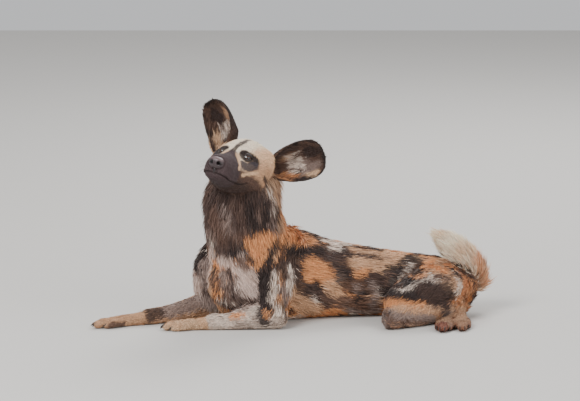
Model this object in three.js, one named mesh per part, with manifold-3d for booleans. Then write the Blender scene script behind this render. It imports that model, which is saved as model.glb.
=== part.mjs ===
// African wild dog lying down with its head raised, life size, as a still museum model.
// Millimetres, +Z up. The head end points to -X and the animal's left side faces -Y.
// Every body part is a form swept along a row of stations. A part that grows out of another is cut
// back from it by GAP, so that the two meet face to face.

import * as THREE from 'three';
import { mergeVertices } from 'three/addons/utils/BufferGeometryUtils.js';
import Module from 'manifold-3d';

const wasm = await Module();
wasm.setup();

// Driving dimensions
const GAP = 0.3; // clearance between neighbouring parts
const EYE_RADIUS = 12.5;
const EYE_SIDE = 32; // eye centre from the head's midline
const EYE_FORWARD = -1;
const LID_THICKNESS = 2.6;
const EAR_LENGTH = 132;
const EAR_WIDTH = 98;
const EAR_THICKNESS = 5;
const PAW_WIDTH = 46;
const CLAW_LENGTH = 17;

// Coat colours
const COAT = {
  tan: 0xb98550,
  buff: 0xcfae86,
  dark: 0x4a3b35,
  brown: 0x6d5544,
  grey: 0xa89688,
  cream: 0xe0c9a8,
  nose: 0x2c2524,
  eye: 0x3a2414,
};

const vector = (p) => new THREE.Vector3(p[0], p[1], p[2]);

// One row between the rows of a table, on a Catmull-Rom spline through every column.
function rowAt(rows, t) {
  const last = rows.length - 1;
  const i = Math.min(Math.floor(t), last - 1);
  const f = t - i;
  const [a, b, c, d] = [i - 1, i, i + 1, i + 2].map((k) => rows[THREE.MathUtils.clamp(k, 0, last)]);
  return b.map((_, k) => {
    const slopeB = (c[k] - a[k]) / 2;
    const slopeC = (d[k] - b[k]) / 2;
    const f2 = f * f;
    const f3 = f2 * f;
    return (2 * f3 - 3 * f2 + 1) * b[k] + (f3 - 2 * f2 + f) * slopeB
      + (3 * f2 - 2 * f3) * c[k] + (f3 - f2) * slopeC;
  });
}

// Closed surface from rings of points, each ring of the same count, with a pole at each end.
function skinOf(rings, firstPole, lastPole) {
  const sides = rings[0].length;
  const points = [...rings.flat(), firstPole, lastPole];
  const index = [];
  const first = rings.length * sides;
  for (let i = 0; i < rings.length; i += 1) {
    for (let j = 0; j < sides; j += 1) {
      const a = i * sides + j;
      const b = i * sides + ((j + 1) % sides);
      if (i === 0) index.push(first, b, a);
      if (i === rings.length - 1) index.push(first + 1, a, b);
      else index.push(a, b, a + sides, b, b + sides, a + sides);
    }
  }
  const geometry = new THREE.BufferGeometry();
  geometry.setAttribute('position', new THREE.Float32BufferAttribute(points.flatMap((p) => p.toArray()), 3));
  geometry.setIndex(index);
  return geometry;
}

// Unit point of a superellipse at an angle: power 2 is an ellipse, more is boxier.
function rounded(angle, power) {
  const bend = (x) => Math.sign(x) * Math.abs(x) ** (2 / power);
  return [bend(Math.cos(angle)), bend(Math.sin(angle))];
}

// A limb or trunk: stations [x, y, z, half width, half height above, half height below], swept from
// the first to the last with domed ends. "up" says which way the section's height points.
// "extra" swells the form all round, for cutting a neighbour back from it.
function limb(rows, shape, extra = 0) {
  const { up = [0, 0, 1], rings = 12, sides = 14, power = 2, dome = 0.8, caps = [65, 35] } = shape;
  const last = rows.length - 1;
  const upHint = vector(up);
  const at = (t) => {
    const row = rowAt(rows, t);
    const step = 0.02;
    const ahead = vector(rowAt(rows, Math.min(t + step, last)));
    const tangent = ahead.sub(vector(rowAt(rows, Math.max(t - step, 0)))).normalize();
    const side = new THREE.Vector3().crossVectors(tangent, upHint).normalize();
    const rise = new THREE.Vector3().crossVectors(side, tangent).normalize();
    return { centre: vector(row), tangent, side, rise, size: row.slice(3).map((s) => s + extra) };
  };
  const ring = ({ centre, side, rise, size }, scale, shift) => {
    const made = [];
    for (let j = 0; j < sides; j += 1) {
      const [c, s] = rounded((-2 * Math.PI * j) / sides, power);
      made.push(centre.clone().add(shift)
        .addScaledVector(side, c * size[0] * scale)
        .addScaledVector(rise, s * (s > 0 ? size[1] : size[2]) * scale));
    }
    return made;
  };
  const ends = [at(0), at(last)].map((station, end) => {
    const out = station.tangent.clone().multiplyScalar(end ? 1 : -1);
    const reach = Math.min(...station.size) * dome;
    const domed = caps.map(THREE.MathUtils.degToRad)
      .map((a) => ring(station, Math.cos(a), out.clone().multiplyScalar(reach * Math.sin(a))));
    return { domed, pole: station.centre.clone().addScaledVector(out, reach) };
  });
  const body = [];
  for (let i = 0; i <= rings; i += 1) body.push(ring(at((last * i) / rings), 1, new THREE.Vector3()));
  return skinOf([...ends[0].domed, ...body, ...ends[1].domed.reverse()], ends[0].pole, ends[1].pole);
}

// A flat tapered lock of hair: it starts inside the coat at a point and ends in a tip.
function lock({ at, way, out, length, width, thick, bend = 0 }, extra = 0) {
  const rows = [-0.18, 0.35, 0.75, 1].map((share, i) => {
    const p = at.clone().addScaledVector(way, share * length).addScaledVector(out, bend * share * share);
    const taper = [0.8, 1, 0.66, 0.14][i];
    const half = thick * taper + extra;
    return [...p.toArray(), width * taper + extra, half, half];
  });
  return solid(limb(rows, { up: out.toArray(), rings: 2, sides: 4, caps: [] }));
}

// A closed three.js geometry as a solid.
function solid(geometry) {
  geometry.deleteAttribute('normal');
  geometry.deleteAttribute('uv');
  const merged = mergeVertices(geometry, 1e-4);
  return new wasm.Manifold(new wasm.Mesh({
    numProp: 3,
    vertProperties: new Float32Array(merged.attributes.position.array),
    triVerts: new Uint32Array(merged.index.array),
  }));
}

const join = (solids) => wasm.Manifold.union(solids);

// Numbers between 0 and 1 that are the same in every run.
function seeded(seed) {
  let state = seed;
  return () => {
    state = (state * 1664525 + 1013904223) % 4294967296;
    return state / 4294967296;
  };
}

// An ellipsoid with its own axes, as a basis matrix.
function ellipsoid(centre, radii, basis = new THREE.Matrix4(), segments = 14) {
  const ball = new THREE.SphereGeometry(1, segments, Math.round(segments * 0.7));
  ball.scale(...radii).applyMatrix4(basis).translate(...centre);
  return solid(ball);
}

// Trunk: stations from the rump to the breast, [x, y, z, half width, above, below].
// The spine curves round, so that the breast and the rump both turn towards -Y.
const TRUNK = [
  [452, 2, 74, 34, 38, 42],
  [426, 8, 72, 64, 56, 72],
  [378, 18, 74, 78, 71, 76],
  [312, 30, 76, 80, 76, 78],
  [240, 38, 78, 86, 82, 80],
  [160, 36, 84, 97, 89, 86],
  [75, 18, 94, 100, 101, 96],
  [-10, -20, 112, 94, 116, 114],
  [-80, -66, 120, 88, 116, 118],
  [-134, -114, 124, 74, 92, 104],
  [-154, -133, 128, 60, 74, 76],
];
const TRUNK_SHAPE = { rings: 22, sides: 22, power: 2.2, dome: 0.6 };
const LOIN_CUT = { at: [300, 30, 80], normal: [1, -0.2, 0] };
const RIB_CUT = { at: [118, 26, 90], normal: [1, -0.2, 0] };

const trunk = (extra) => solid(limb(TRUNK, TRUNK_SHAPE, extra));

// Keeps what lies beyond a plane, half the gap away from it.
function beyond(form, { at, normal }, sign) {
  const n = vector(normal).normalize().multiplyScalar(sign);
  return (extra) => form(extra).trimByPlane(n.toArray(), n.dot(vector(at)) + GAP / 2 - extra);
}

// Neck: stations from inside the breast to behind the skull. Its height points to the throat.
const NECK = [
  [-84, -66, 132, 92, 104, 84],
  [-100, -78, 182, 96, 110, 100],
  [-112, -90, 236, 94, 102, 100],
  [-120, -98, 290, 88, 92, 92],
  [-118, -100, 340, 84, 84, 86],
  [-112, -98, 384, 76, 70, 76],
  [-106, -92, 414, 58, 52, 58],
];
const NECK_SHAPE = { up: [-0.55, -0.83, 0], rings: 11, sides: 20, power: 2.1, dome: 0.5 };

// Ruff: locks down the sides of the neck, the throat and the nape.
const RUFF = { rows: 2, perRow: 7, from: 0.42, to: 0.8, length: 66, width: 18, thick: 6, seed: 11 };

function neck(extra) {
  const random = seeded(RUFF.seed);
  const last = NECK.length - 1;
  const up = vector(NECK_SHAPE.up).normalize();
  const side = new THREE.Vector3().crossVectors(vector([0, 0, 1]), up).normalize();
  const locks = [];
  for (let i = 0; i < RUFF.rows; i += 1) {
    for (let j = 0; j < RUFF.perRow; j += 1) {
      const share = THREE.MathUtils.lerp(RUFF.from, RUFF.to, (i + 0.5 * random()) / (RUFF.rows - 0.5));
      const row = rowAt(NECK, share * last);
      const angle = (2 * Math.PI * (j + (i % 2) / 2 + 0.4 * random())) / RUFF.perRow;
      const [c, s] = rounded(angle, NECK_SHAPE.power);
      const reach = side.clone().multiplyScalar(c * row[3]).addScaledVector(up, s * (s > 0 ? row[4] : row[5]));
      const out = side.clone().multiplyScalar(c).addScaledVector(up, s).normalize();
      const at = vector(row).addScaledVector(reach, 0.97);
      const way = vector([0, 0, -1]).addScaledVector(out, 0.1 + 0.08 * random()).normalize();
      const length = RUFF.length * (0.8 + 0.4 * random());
      locks.push(lock({ at, way, out, length, width: RUFF.width, thick: RUFF.thick, bend: -5 }, extra));
    }
  }
  return join([solid(limb(NECK, NECK_SHAPE, extra)), ...locks]);
}

// Head frame: forward along the muzzle, left, and up, from the point midway between the eyes.
const HEAD_AT = vector([-137, -170, 444]);
const FORWARD = vector([-0.336, -0.903, 0.268]).normalize();
const UP = vector([0.278, 0.177, 0.944]).projectOnPlane(FORWARD).normalize();
const LEFT = new THREE.Vector3().crossVectors(UP, FORWARD);
const HEAD = new THREE.Matrix4().makeBasis(FORWARD, LEFT, UP).setPosition(HEAD_AT);
const HEAD_AXES = new THREE.Matrix4().extractRotation(HEAD);

const inHead = (p) => vector(p).applyMatrix4(HEAD);

// Head: stations from the nose to the nape, [forward, half width, top, bottom, how boxy].
const SKULL = [
  [104, 21, -20, -56, 2.2],
  [99, 29, -14, -70, 2.4],
  [86, 34, -10, -77, 2.6],
  [68, 36.5, -6, -81, 2.7],
  [50, 39, -2, -84, 2.6],
  [34, 43, 3, -86, 2.5],
  [18, 49, 12, -89, 2.4],
  [0, 58, 24, -92, 2.3],
  [-22, 66, 34, -95, 2.3],
  [-48, 73, 41, -97, 2.3],
  [-74, 74, 44, -94, 2.3],
  [-100, 68, 40, -86, 2.2],
  [-122, 54, 28, -70, 2.1],
  [-138, 32, 8, -46, 2],
];
// Swellings and hollows of the face, on both sides: [forward, side, up, radius, push].
const FACE = [
  [12, 27, 18, 17, 5], // brow
  [8, 40, -2, 14, -9], // eye socket
  [34, 26, -6, 20, -5], // beside the bridge of the nose
  [-20, 62, -24, 28, 5], // cheekbone
  [-50, 68, -62, 34, 7], // jaw muscle
  [72, 34, -56, 22, 4], // upper lip
  [26, 42, -76, 18, 4], // corner of the mouth
  [-82, 60, 24, 30, 9], // root of the ear
  [-60, 0, 42, 34, 3], // crown
];
const HEAD_RINGS = 22;
const HEAD_SIDES = 22;

// A point of the head's surface at station t and angle a round it, in the head frame.
function headPoint(t, a, extra) {
  const [forward, width, top, bottom, power] = rowAt(SKULL, t);
  const [c, s] = rounded(a, power);
  const middle = (top + bottom) / 2;
  const half = (top - bottom) / 2;
  const narrow = 1 - 0.16 * Math.max(0, s) ** 2 - 0.1 * Math.max(0, -s) ** 2;
  const p = vector([forward, c * (width + extra) * narrow, middle + s * (half + extra)]);
  const out = vector([0, c / (width + 1), s / (half + 1)]).normalize();
  for (const [x, y, z, radius, push] of FACE) {
    const away = Math.hypot(p.x - x, Math.abs(p.y) - y, p.z - z) / radius;
    p.addScaledVector(out, push * Math.exp(-away * away * 1.6));
  }
  return p;
}

function headForm(extra) {
  const last = SKULL.length - 1;
  const rings = [];
  for (let i = 0; i <= HEAD_RINGS; i += 1) {
    const ring = [];
    for (let j = 0; j < HEAD_SIDES; j += 1) {
      ring.push(headPoint((last * i) / HEAD_RINGS, (-2 * Math.PI * j) / HEAD_SIDES, extra).applyMatrix4(HEAD));
    }
    rings.push(ring);
  }
  const poles = [[SKULL[0][0] + 5 + extra, 0, -40], [SKULL[last][0] - 6 - extra, 0, -18]].map(inHead);
  return solid(skinOf(rings, poles[0], poles[1]));
}

// The line of the mouth, from under the nose to its corner: [forward, up]. Its groove follows the
// surface, so each place on it is looked for there.
const MOUTH = [[102, -57], [97, -60], [87, -62], [70, -65], [50, -67], [32, -68], [16, -66], [6, -60]];
const MOUTH_GROOVE = 2.3;

// Side of the head's surface at a place along it and a height.
function sideAt(forward, height) {
  let best = { error: Infinity, side: 0 };
  for (let t = 0; t < SKULL.length - 1; t += 0.06) {
    for (let a = -1.5; a < 1.5; a += 0.03) {
      const p = headPoint(t, a, 0);
      const error = Math.hypot(p.x - forward, p.z - height);
      if (error < best.error) best = { error, side: p.y };
    }
  }
  return best.side;
}

function mouthCut() {
  const line = MOUTH.map(([forward, height]) => [forward, sideAt(forward, height), height]);
  const oneSide = (side) => {
    const rows = line.map(([x, y, z]) => [...inHead([x, side * y, z]).toArray(), MOUTH_GROOVE, 1.5, 1.5]);
    return solid(limb(rows, { rings: 7, sides: 4, up: UP.toArray(), caps: [] }));
  };
  const front = [-1, 0, 1].map((side) => [
    ...inHead([104 - Math.abs(side) * 2, side * line[0][1], -56 - Math.abs(side)]).toArray(), 2, 1.5, 1.5,
  ]);
  return join([oneSide(1), oneSide(-1), solid(limb(front, { rings: 4, sides: 4, up: UP.toArray(), caps: [] }))]);
}

const eyeCentre = (side) => inHead([EYE_FORWARD, side * EYE_SIDE, 0]);

// Lids: a ball round the eye with an almond opening that faces forwards and out.
function lidBall(side) {
  return ellipsoid(eyeCentre(side).toArray(), Array(3).fill(EYE_RADIUS + LID_THICKNESS), undefined, 12);
}

const eyeBall = (side, extra = 0) =>
  ellipsoid(eyeCentre(side).toArray(), Array(3).fill(EYE_RADIUS + extra), undefined, 12);

function lidOpening(side) {
  const look = vector([0.72, side * 0.66, 0.12]).normalize();
  const along = new THREE.Vector3().crossVectors(vector([0, 0, 1]), look).normalize();
  const over = new THREE.Vector3().crossVectors(look, along);
  const basis = new THREE.Matrix4().makeBasis(look, along, over).premultiply(HEAD_AXES);
  const at = inHead([EYE_FORWARD + 10 * look.x, side * EYE_SIDE + 10 * look.y, 10 * look.z]);
  return ellipsoid(at.toArray(), [12, 12, 6.8], basis, 10);
}

// Nose pad with its two nostrils.
function nosePad(extra = 0) {
  const pad = ellipsoid(inHead([103, 0, -32]).toArray(), [14, 20, 15].map((r) => r + extra), HEAD_AXES, 12);
  const chinward = ellipsoid(inHead([102, 0, -47]).toArray(), [5, 4, 9].map((r) => r + extra), HEAD_AXES, 8);
  return pad.add(chinward);
}

function nostrils() {
  const one = (side) => ellipsoid(inHead([114, side * 10.5, -34]).toArray(), [9, 4.8, 5.5], HEAD_AXES, 8);
  return one(1).add(one(-1));
}

// Ear: a cupped blade, round at the top and rolled to a tube at its root.
// Stations from root to tip: [share of length, half width, half angle of the roll, thickness share].
const EAR = [
  [-0.1, 0.42, 120, 1.6],
  [0.1, 0.66, 110, 1.4],
  [0.3, 0.88, 92, 1.1],
  [0.52, 1, 74, 0.9],
  [0.72, 0.99, 60, 0.8],
  [0.87, 0.84, 50, 0.7],
  [0.96, 0.56, 42, 0.6],
  [1, 0.22, 36, 0.5],
];
const EAR_RINGS = 10;
const EAR_STEPS = 10;

function ear({ root, axis, mouth }, extra = 0) {
  const along = vector(axis).normalize();
  const open = vector(mouth).projectOnPlane(along).normalize();
  const across = new THREE.Vector3().crossVectors(open, along);
  const rings = [];
  for (let i = 0; i <= EAR_RINGS; i += 1) {
    const [share, half, roll, thick] = rowAt(EAR, ((EAR.length - 1) * i) / EAR_RINGS);
    const angle = THREE.MathUtils.degToRad(roll);
    const radius = (half * EAR_WIDTH) / 2 / Math.sin(Math.min(angle, Math.PI / 2));
    const depth = (EAR_THICKNESS * thick) / 2 + extra;
    const back = Math.cos(Math.min(angle, Math.PI / 2)) * radius;
    const wall = (sign) => {
      const side = [];
      for (let j = 0; j <= EAR_STEPS; j += 1) {
        const a = angle * ((2 * j) / EAR_STEPS - 1) * (1 + extra / radius);
        const r = radius + sign * depth;
        side.push(vector(root)
          .addScaledVector(along, share * EAR_LENGTH)
          .addScaledVector(across, r * Math.sin(a))
          .addScaledVector(open, back - r * Math.cos(a)));
      }
      return side;
    };
    rings.push([...wall(1), ...wall(-1).reverse()]);
  }
  const middle = (ring) => ring.reduce((sum, p) => sum.add(p), new THREE.Vector3()).divideScalar(ring.length);
  return solid(skinOf(rings, middle(rings[0]), middle(rings[EAR_RINGS])));
}

const EARS = {
  left: { root: [-42, -108, 400], axis: [0.965, 0.05, 0.25], mouth: [-0.1, -0.98, 0.17] },
  right: { root: [-168, -82, 439], axis: [-0.2, 0.32, 0.93], mouth: [-0.74, -0.66, 0.08] },
};

// Legs: stations [x, y, z, half width, above, below]. A shoulder is a blade and an arm, both flat.
const BLADE = {
  left: [
    [14, -58, 214, 34, 16, 26],
    [-14, -84, 196, 56, 24, 34],
    [-44, -112, 166, 58, 32, 40],
    [-74, -134, 134, 46, 34, 40],
  ],
  right: [
    [-106, 22, 214, 34, 16, 26],
    [-136, -4, 196, 54, 24, 34],
    [-172, -38, 168, 56, 32, 40],
    [-202, -76, 136, 46, 34, 40],
  ],
};
const UPPER_ARM = {
  left: [
    [-34, -108, 168, 54, 30, 40],
    [-38, -124, 130, 62, 36, 44],
    [-40, -140, 88, 50, 36, 42],
    [-40, -156, 46, 33, 32, 34],
  ],
  right: [
    [-172, -22, 168, 54, 30, 40],
    [-190, -34, 130, 60, 36, 44],
    [-200, -36, 88, 48, 36, 42],
    [-200, -32, 46, 33, 32, 34],
  ],
};
const FOREARM = {
  left: [
    [-30, -158, 34, 32, 32, 34],
    [-62, -162, 34, 31, 32, 34],
    [-110, -168, 28, 25, 25, 28],
    [-160, -172, 23, 20, 20, 23],
    [-196, -174, 22, 20, 20, 22],
  ],
  right: [
    [-190, -22, 38, 32, 34, 38],
    [-222, -40, 36, 31, 32, 36],
    [-270, -66, 29, 25, 25, 29],
    [-322, -94, 24, 20, 20, 24],
    [-360, -112, 22, 20, 20, 22],
  ],
};
const THIGH = {
  left: [
    [414, -2, 84, 62, 44, 58],
    [376, -34, 90, 80, 46, 54],
    [332, -74, 84, 70, 42, 46],
    [292, -108, 71, 48, 36, 38],
    [266, -128, 60, 34, 32, 32],
  ],
  right: [
    [396, -18, 46, 62, 40, 48],
    [350, -62, 44, 64, 38, 46],
    [308, -112, 38, 48, 34, 40],
    [272, -152, 32, 34, 31, 33],
    [258, -166, 30, 29, 28, 30],
  ],
};
const SHANK = {
  left: [
    [258, -128, 58, 28, 29, 27],
    [296, -112, 55, 29, 28, 26],
    [340, -90, 49, 25, 23, 21],
    [386, -64, 40, 16, 16, 14],
    [424, -44, 34, 15, 18, 16],
    [440, -36, 33, 14, 17, 15],
  ],
  right: [
    [250, -166, 30, 26, 27, 30],
    [286, -152, 29, 27, 26, 29],
    [330, -128, 26, 22, 21, 26],
    [370, -104, 21, 15, 15, 20],
    [398, -88, 20, 14, 14, 19],
    [410, -80, 20, 13, 14, 18],
  ],
};
// Feet: where the wrist or heel is, where the toes end, and how high the wrist or heel stands.
const FOOT = {
  fore_left: { heel: [-192, -174, 20], toes: [-322, -184, 11] },
  fore_right: { heel: [-356, -110, 20], toes: [-498, -162, 11] },
  hind_left: { heel: [434, -34, 30], toes: [432, -210, 11] },
  hind_right: { heel: [404, -82, 18], toes: [380, -222, 11] },
};
const TOES = [ // [sideways share, reach share, lift]
  [-0.36, 0.84, 0],
  [-0.13, 1, 1],
  [0.13, 1, 1],
  [0.36, 0.84, 0],
];

// A foot: its long middle part, four toes and their claws.
function foot({ heel, toes }, extra = 0) {
  const start = vector(heel);
  const way = vector(toes).sub(start);
  const length = way.length();
  way.normalize();
  const side = new THREE.Vector3().crossVectors(vector([0, 0, 1]), way).normalize();
  const place = (along, across, height) => {
    const p = start.clone().addScaledVector(way, along * length).addScaledVector(side, across * PAW_WIDTH);
    return [p.x, p.y, height];
  };
  const middle = [
    [...start.toArray(), 17, 17, heel[2]],
    [...place(0.25, 0, 18), 15, 14, 18],
    [...place(0.5, 0, 17), 17, 12, 17],
    [...place(0.72, 0, 14), 21, 10, 14],
  ];
  const pieces = [solid(limb(middle, { rings: 4, sides: 8 }, extra))];
  for (const [across, reach, lift] of TOES) {
    const toe = [
      [...place(reach - 0.32, across * 0.72, 14 + lift), 7.5, 8, 12],
      [...place(reach - 0.2, across * 0.95, 14 + lift), 8, 8, 12],
      [...place(reach - 0.09, across, 10 + lift), 7.4, 7, 10],
    ];
    const claw = [
      [...place(reach - 0.1, across, 11), 3, 3.4, 3.4],
      [...place(reach - 0.1 + (0.6 * CLAW_LENGTH) / length, across, 9.5), 2.2, 2.6, 2.6],
      [...place(reach - 0.1 + CLAW_LENGTH / length, across, 5.5), 0.9, 1, 1],
    ];
    pieces.push(solid(limb(toe, { rings: 2, sides: 6, dome: 1, caps: [45] }, extra)));
    pieces.push(solid(limb(claw, { rings: 2, sides: 4, caps: [] }, extra)));
  }
  return join(pieces);
}

// Tail: its root goes down and back behind the rump, and its brush comes up from there and leans
// forwards over the rump. Locks run along the brush and splay out.
const TAIL = [
  [408, 14, 100, 26, 26, 26],
  [440, 28, 88, 27, 26, 26],
  [464, 40, 78, 28, 26, 26],
];
const BRUSH = [
  [474, 46, 74, 30, 26, 26],
  [466, 46, 98, 38, 30, 30],
  [452, 42, 126, 40, 30, 30],
  [430, 35, 156, 36, 28, 28],
  [404, 26, 184, 25, 21, 21],
  [378, 15, 206, 9, 9, 9],
];
const TAIL_SHAPE = { up: [0, 1, 0], rings: 4, sides: 14 };
const BRUSH_SHAPE = { up: [0, 1, 0], rings: 11, sides: 14 };
const BRUSH_LOCKS = { rows: 4, perRow: 5, from: 0.14, to: 0.74, length: 54, width: 15, thick: 6, seed: 5 };

function tailBrush(extra) {
  const { rows, perRow, from, to, length, width, thick, seed } = BRUSH_LOCKS;
  const random = seeded(seed);
  const last = BRUSH.length - 1;
  const locks = [];
  for (let i = 0; i < rows; i += 1) {
    const t = last * THREE.MathUtils.lerp(from, to, i / (rows - 1));
    const row = rowAt(BRUSH, t);
    const tangent = vector(rowAt(BRUSH, Math.min(t + 0.05, last))).sub(vector(rowAt(BRUSH, t - 0.05))).normalize();
    const side = new THREE.Vector3().crossVectors(tangent, vector(BRUSH_SHAPE.up)).normalize();
    const rise = new THREE.Vector3().crossVectors(side, tangent);
    for (let j = 0; j < perRow; j += 1) {
      const angle = (2 * Math.PI * (j + (i % 2) / 2 + 0.4 * random())) / perRow;
      const [c, s] = [Math.cos(angle), Math.sin(angle)];
      const out = side.clone().multiplyScalar(c).addScaledVector(rise, s);
      const at = vector(row).addScaledVector(side, c * row[3] * 0.86).addScaledVector(rise, s * row[4] * 0.86);
      const way = tangent.clone().addScaledVector(out, 0.16 + 0.14 * random()).normalize();
      const reach = length * (0.8 + 0.4 * random()) * (1 - 0.25 * (i / rows));
      locks.push(lock({ at, way, out, length: reach, width, thick, bend: 3 }, extra));
    }
  }
  return join([solid(limb(BRUSH, BRUSH_SHAPE, extra)), ...locks]);
}

const parts = new Map();

// Makes a node: its form, cut back from every part made before it, above the floor. "fine" is the
// form with its openings, which the swollen form leaves out.
function node(name, colour, form, fine = form) {
  let body = fine(0);
  for (const other of parts.values()) body = body.subtract(other.form(GAP));
  body = body.trimByPlane([0, 0, 1], 0);
  const pieces = body.decompose().sort((a, b) => b.volume() - a.volume());
  parts.set(name, { form, body: pieces[0], colour });
}

node('rump', COAT.tan, beyond(trunk, LOIN_CUT, 1));
node('belly', COAT.brown, beyond(beyond(trunk, LOIN_CUT, -1), RIB_CUT, 1));
node('chest', COAT.dark, beyond(trunk, RIB_CUT, -1));
node('eye_left', COAT.eye, (extra) => eyeBall(1, extra));
node('eye_right', COAT.eye, (extra) => eyeBall(-1, extra));
node('nose', COAT.nose, nosePad, () => nosePad().subtract(nostrils()));
node('head', COAT.buff, headForm, () => {
  const lidded = join([headForm(0), lidBall(1), lidBall(-1)]);
  return lidded.subtract(join([lidOpening(1), lidOpening(-1), mouthCut()]));
});
node('ear_left', COAT.dark, (extra) => ear(EARS.left, extra));
node('ear_right', COAT.dark, (extra) => ear(EARS.right, extra));
node('neck', COAT.brown, neck);

const LIMB_SHAPE = { rings: 8, sides: 12 };
const OUTWARD = { left: [0.62, -0.79, 0], right: [-0.62, 0.79, 0] };
const limbNode = (name, colour, rows, shape = LIMB_SHAPE) => {
  node(name, colour, (extra) => solid(limb(rows, shape, extra)));
};
for (const side of ['left', 'right']) {
  const shape = { ...LIMB_SHAPE, up: OUTWARD[side] };
  const shoulder = (extra) => [BLADE, UPPER_ARM].map((rows) => solid(limb(rows[side], shape, extra)));
  node(`upper_arm_${side}`, COAT.grey, (extra) => join(shoulder(extra)));
  limbNode(`forearm_${side}`, COAT.tan, FOREARM[side]);
  node(`paw_fore_${side}`, COAT.buff, (extra) => foot(FOOT[`fore_${side}`], extra));
}
for (const side of ['left', 'right']) {
  limbNode(`thigh_${side}`, COAT.dark, THIGH[side]);
  limbNode(`shank_${side}`, COAT.tan, SHANK[side]);
  node(`foot_hind_${side}`, COAT.tan, (extra) => foot(FOOT[`hind_${side}`], extra));
}
node('tail_brush', COAT.cream, tailBrush);
node('tail_root', COAT.tan, (extra) => solid(limb(TAIL, TAIL_SHAPE, extra)));

// The finished solid as a mesh with its own material.
function meshOf(name, { body, colour }) {
  const { vertProperties, triVerts } = body.getMesh();
  const geometry = new THREE.BufferGeometry();
  geometry.setAttribute('position', new THREE.BufferAttribute(vertProperties, 3));
  geometry.setIndex(new THREE.BufferAttribute(triVerts, 1));
  geometry.computeVertexNormals();
  const material = new THREE.MeshStandardMaterial({ color: colour, roughness: 0.9, metalness: 0 });
  const mesh = new THREE.Mesh(geometry, material);
  mesh.name = name;
  return mesh;
}

const dog = new THREE.Group();
for (const [name, part] of parts) dog.add(meshOf(name, part));

// The origin is on the floor, under the middle of the whole animal.
const box = new THREE.Box3().setFromObject(dog);
const middle = box.getCenter(new THREE.Vector3());
dog.position.set(-middle.x, -middle.y, -box.min.z);

export default dog;
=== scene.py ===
"""African wild dog lying down with its head raised: the skin, the coat, the face and the studio round it.

Sizes are in millimetres in the tables, in the part's own frame before it is centred, and are turned
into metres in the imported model's frame by place(). Every form is a surface worked out with numpy.
"""
import bpy
import numpy as np
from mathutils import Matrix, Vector
from mathutils.bvhtree import BVHTree


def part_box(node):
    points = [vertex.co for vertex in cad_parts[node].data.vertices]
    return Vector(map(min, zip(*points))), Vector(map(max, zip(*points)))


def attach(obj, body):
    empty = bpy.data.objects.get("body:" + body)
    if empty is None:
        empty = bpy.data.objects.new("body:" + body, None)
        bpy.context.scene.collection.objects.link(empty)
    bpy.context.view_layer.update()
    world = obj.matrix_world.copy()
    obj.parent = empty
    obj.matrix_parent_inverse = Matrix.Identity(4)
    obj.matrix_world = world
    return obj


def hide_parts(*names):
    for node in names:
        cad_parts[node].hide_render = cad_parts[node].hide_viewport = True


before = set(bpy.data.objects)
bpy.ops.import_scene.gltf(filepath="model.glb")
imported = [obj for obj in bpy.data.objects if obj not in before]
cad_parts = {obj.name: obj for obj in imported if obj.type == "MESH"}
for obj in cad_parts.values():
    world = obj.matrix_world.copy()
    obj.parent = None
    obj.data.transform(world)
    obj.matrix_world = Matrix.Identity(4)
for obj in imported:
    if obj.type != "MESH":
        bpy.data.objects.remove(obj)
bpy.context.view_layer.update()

MM = 0.001
EYE_RADIUS = 12.5
EYE_SIDE = 32.0
EYE_FORWARD = -1.0
EYE_LOOK = np.array([0.72, 0.66, 0.12])  # forward, outward and up
EAR_LENGTH = 132.0
EAR_WIDTH = 98.0
EAR_THICKNESS = 4.4
EAR_REACH = 0.75  # points this near to its middle, as a share of its length, belong to an ear
PAW_WIDTH = 46.0
CLAW_LENGTH = 17.0
CLAW = [(0, 11.5, 3.1), (0.35, 12, 2.9), (0.65, 10, 2.3), (0.88, 7, 1.3), (1, 5, 0.5)]  # share, height, half
NOSE_AT = [103, 0, -32]
NOSE_RADII = np.array([14.0, 20.0, 15.0])
WHISKER_HALF = 0.22
WHISKER_ROWS = 3
WHISKERS_IN_ROW = 3

# How far the skin lies inside the solids, to leave room for the coat.
SKIN_DEPTH = 3.0
LEG_DEPTH = 2.0
PAW_DEPTH = 1.0
FACE_DEPTH = 1.2
THROAT_DEPTH = 4.0
BRUSH_DEPTH = 9.0
THINNEST = 0.05  # no section is smaller than this
FLOOR_GAP = 0.5
HAIR_GAP = 0.4
BODY_VOXEL = 4.8 * MM
PAW_VOXEL = 2.8 * MM

# Stations [x, y, z, half width, above, below], as in the part.
TRUNK = np.array([
    [452, 2, 74, 34, 38, 42],
    [426, 8, 72, 64, 56, 72],
    [378, 18, 74, 78, 71, 76],
    [312, 30, 76, 80, 76, 78],
    [240, 38, 78, 86, 82, 80],
    [160, 36, 84, 97, 89, 86],
    [75, 18, 94, 100, 101, 96],
    [-10, -20, 112, 94, 116, 114],
    [-80, -66, 120, 88, 116, 118],
    [-134, -114, 124, 74, 92, 104],
    [-154, -133, 128, 60, 74, 76],
], float)
NECK = np.array([
    [-84, -66, 132, 92, 104, 84],
    [-100, -78, 182, 96, 110, 100],
    [-112, -90, 236, 94, 102, 100],
    [-120, -98, 290, 88, 92, 92],
    [-118, -100, 340, 84, 84, 86],
    [-112, -98, 384, 76, 70, 76],
    [-106, -92, 414, 58, 52, 58],
], float)
BLADE = {
    "left": np.array([
        [14, -58, 214, 34, 16, 26],
        [-14, -84, 196, 56, 24, 34],
        [-44, -112, 166, 58, 32, 40],
        [-74, -134, 134, 46, 34, 40],
    ], float),
    "right": np.array([
        [-106, 22, 214, 34, 16, 26],
        [-136, -4, 196, 54, 24, 34],
        [-172, -38, 168, 56, 32, 40],
        [-202, -76, 136, 46, 34, 40],
    ], float),
}
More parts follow.
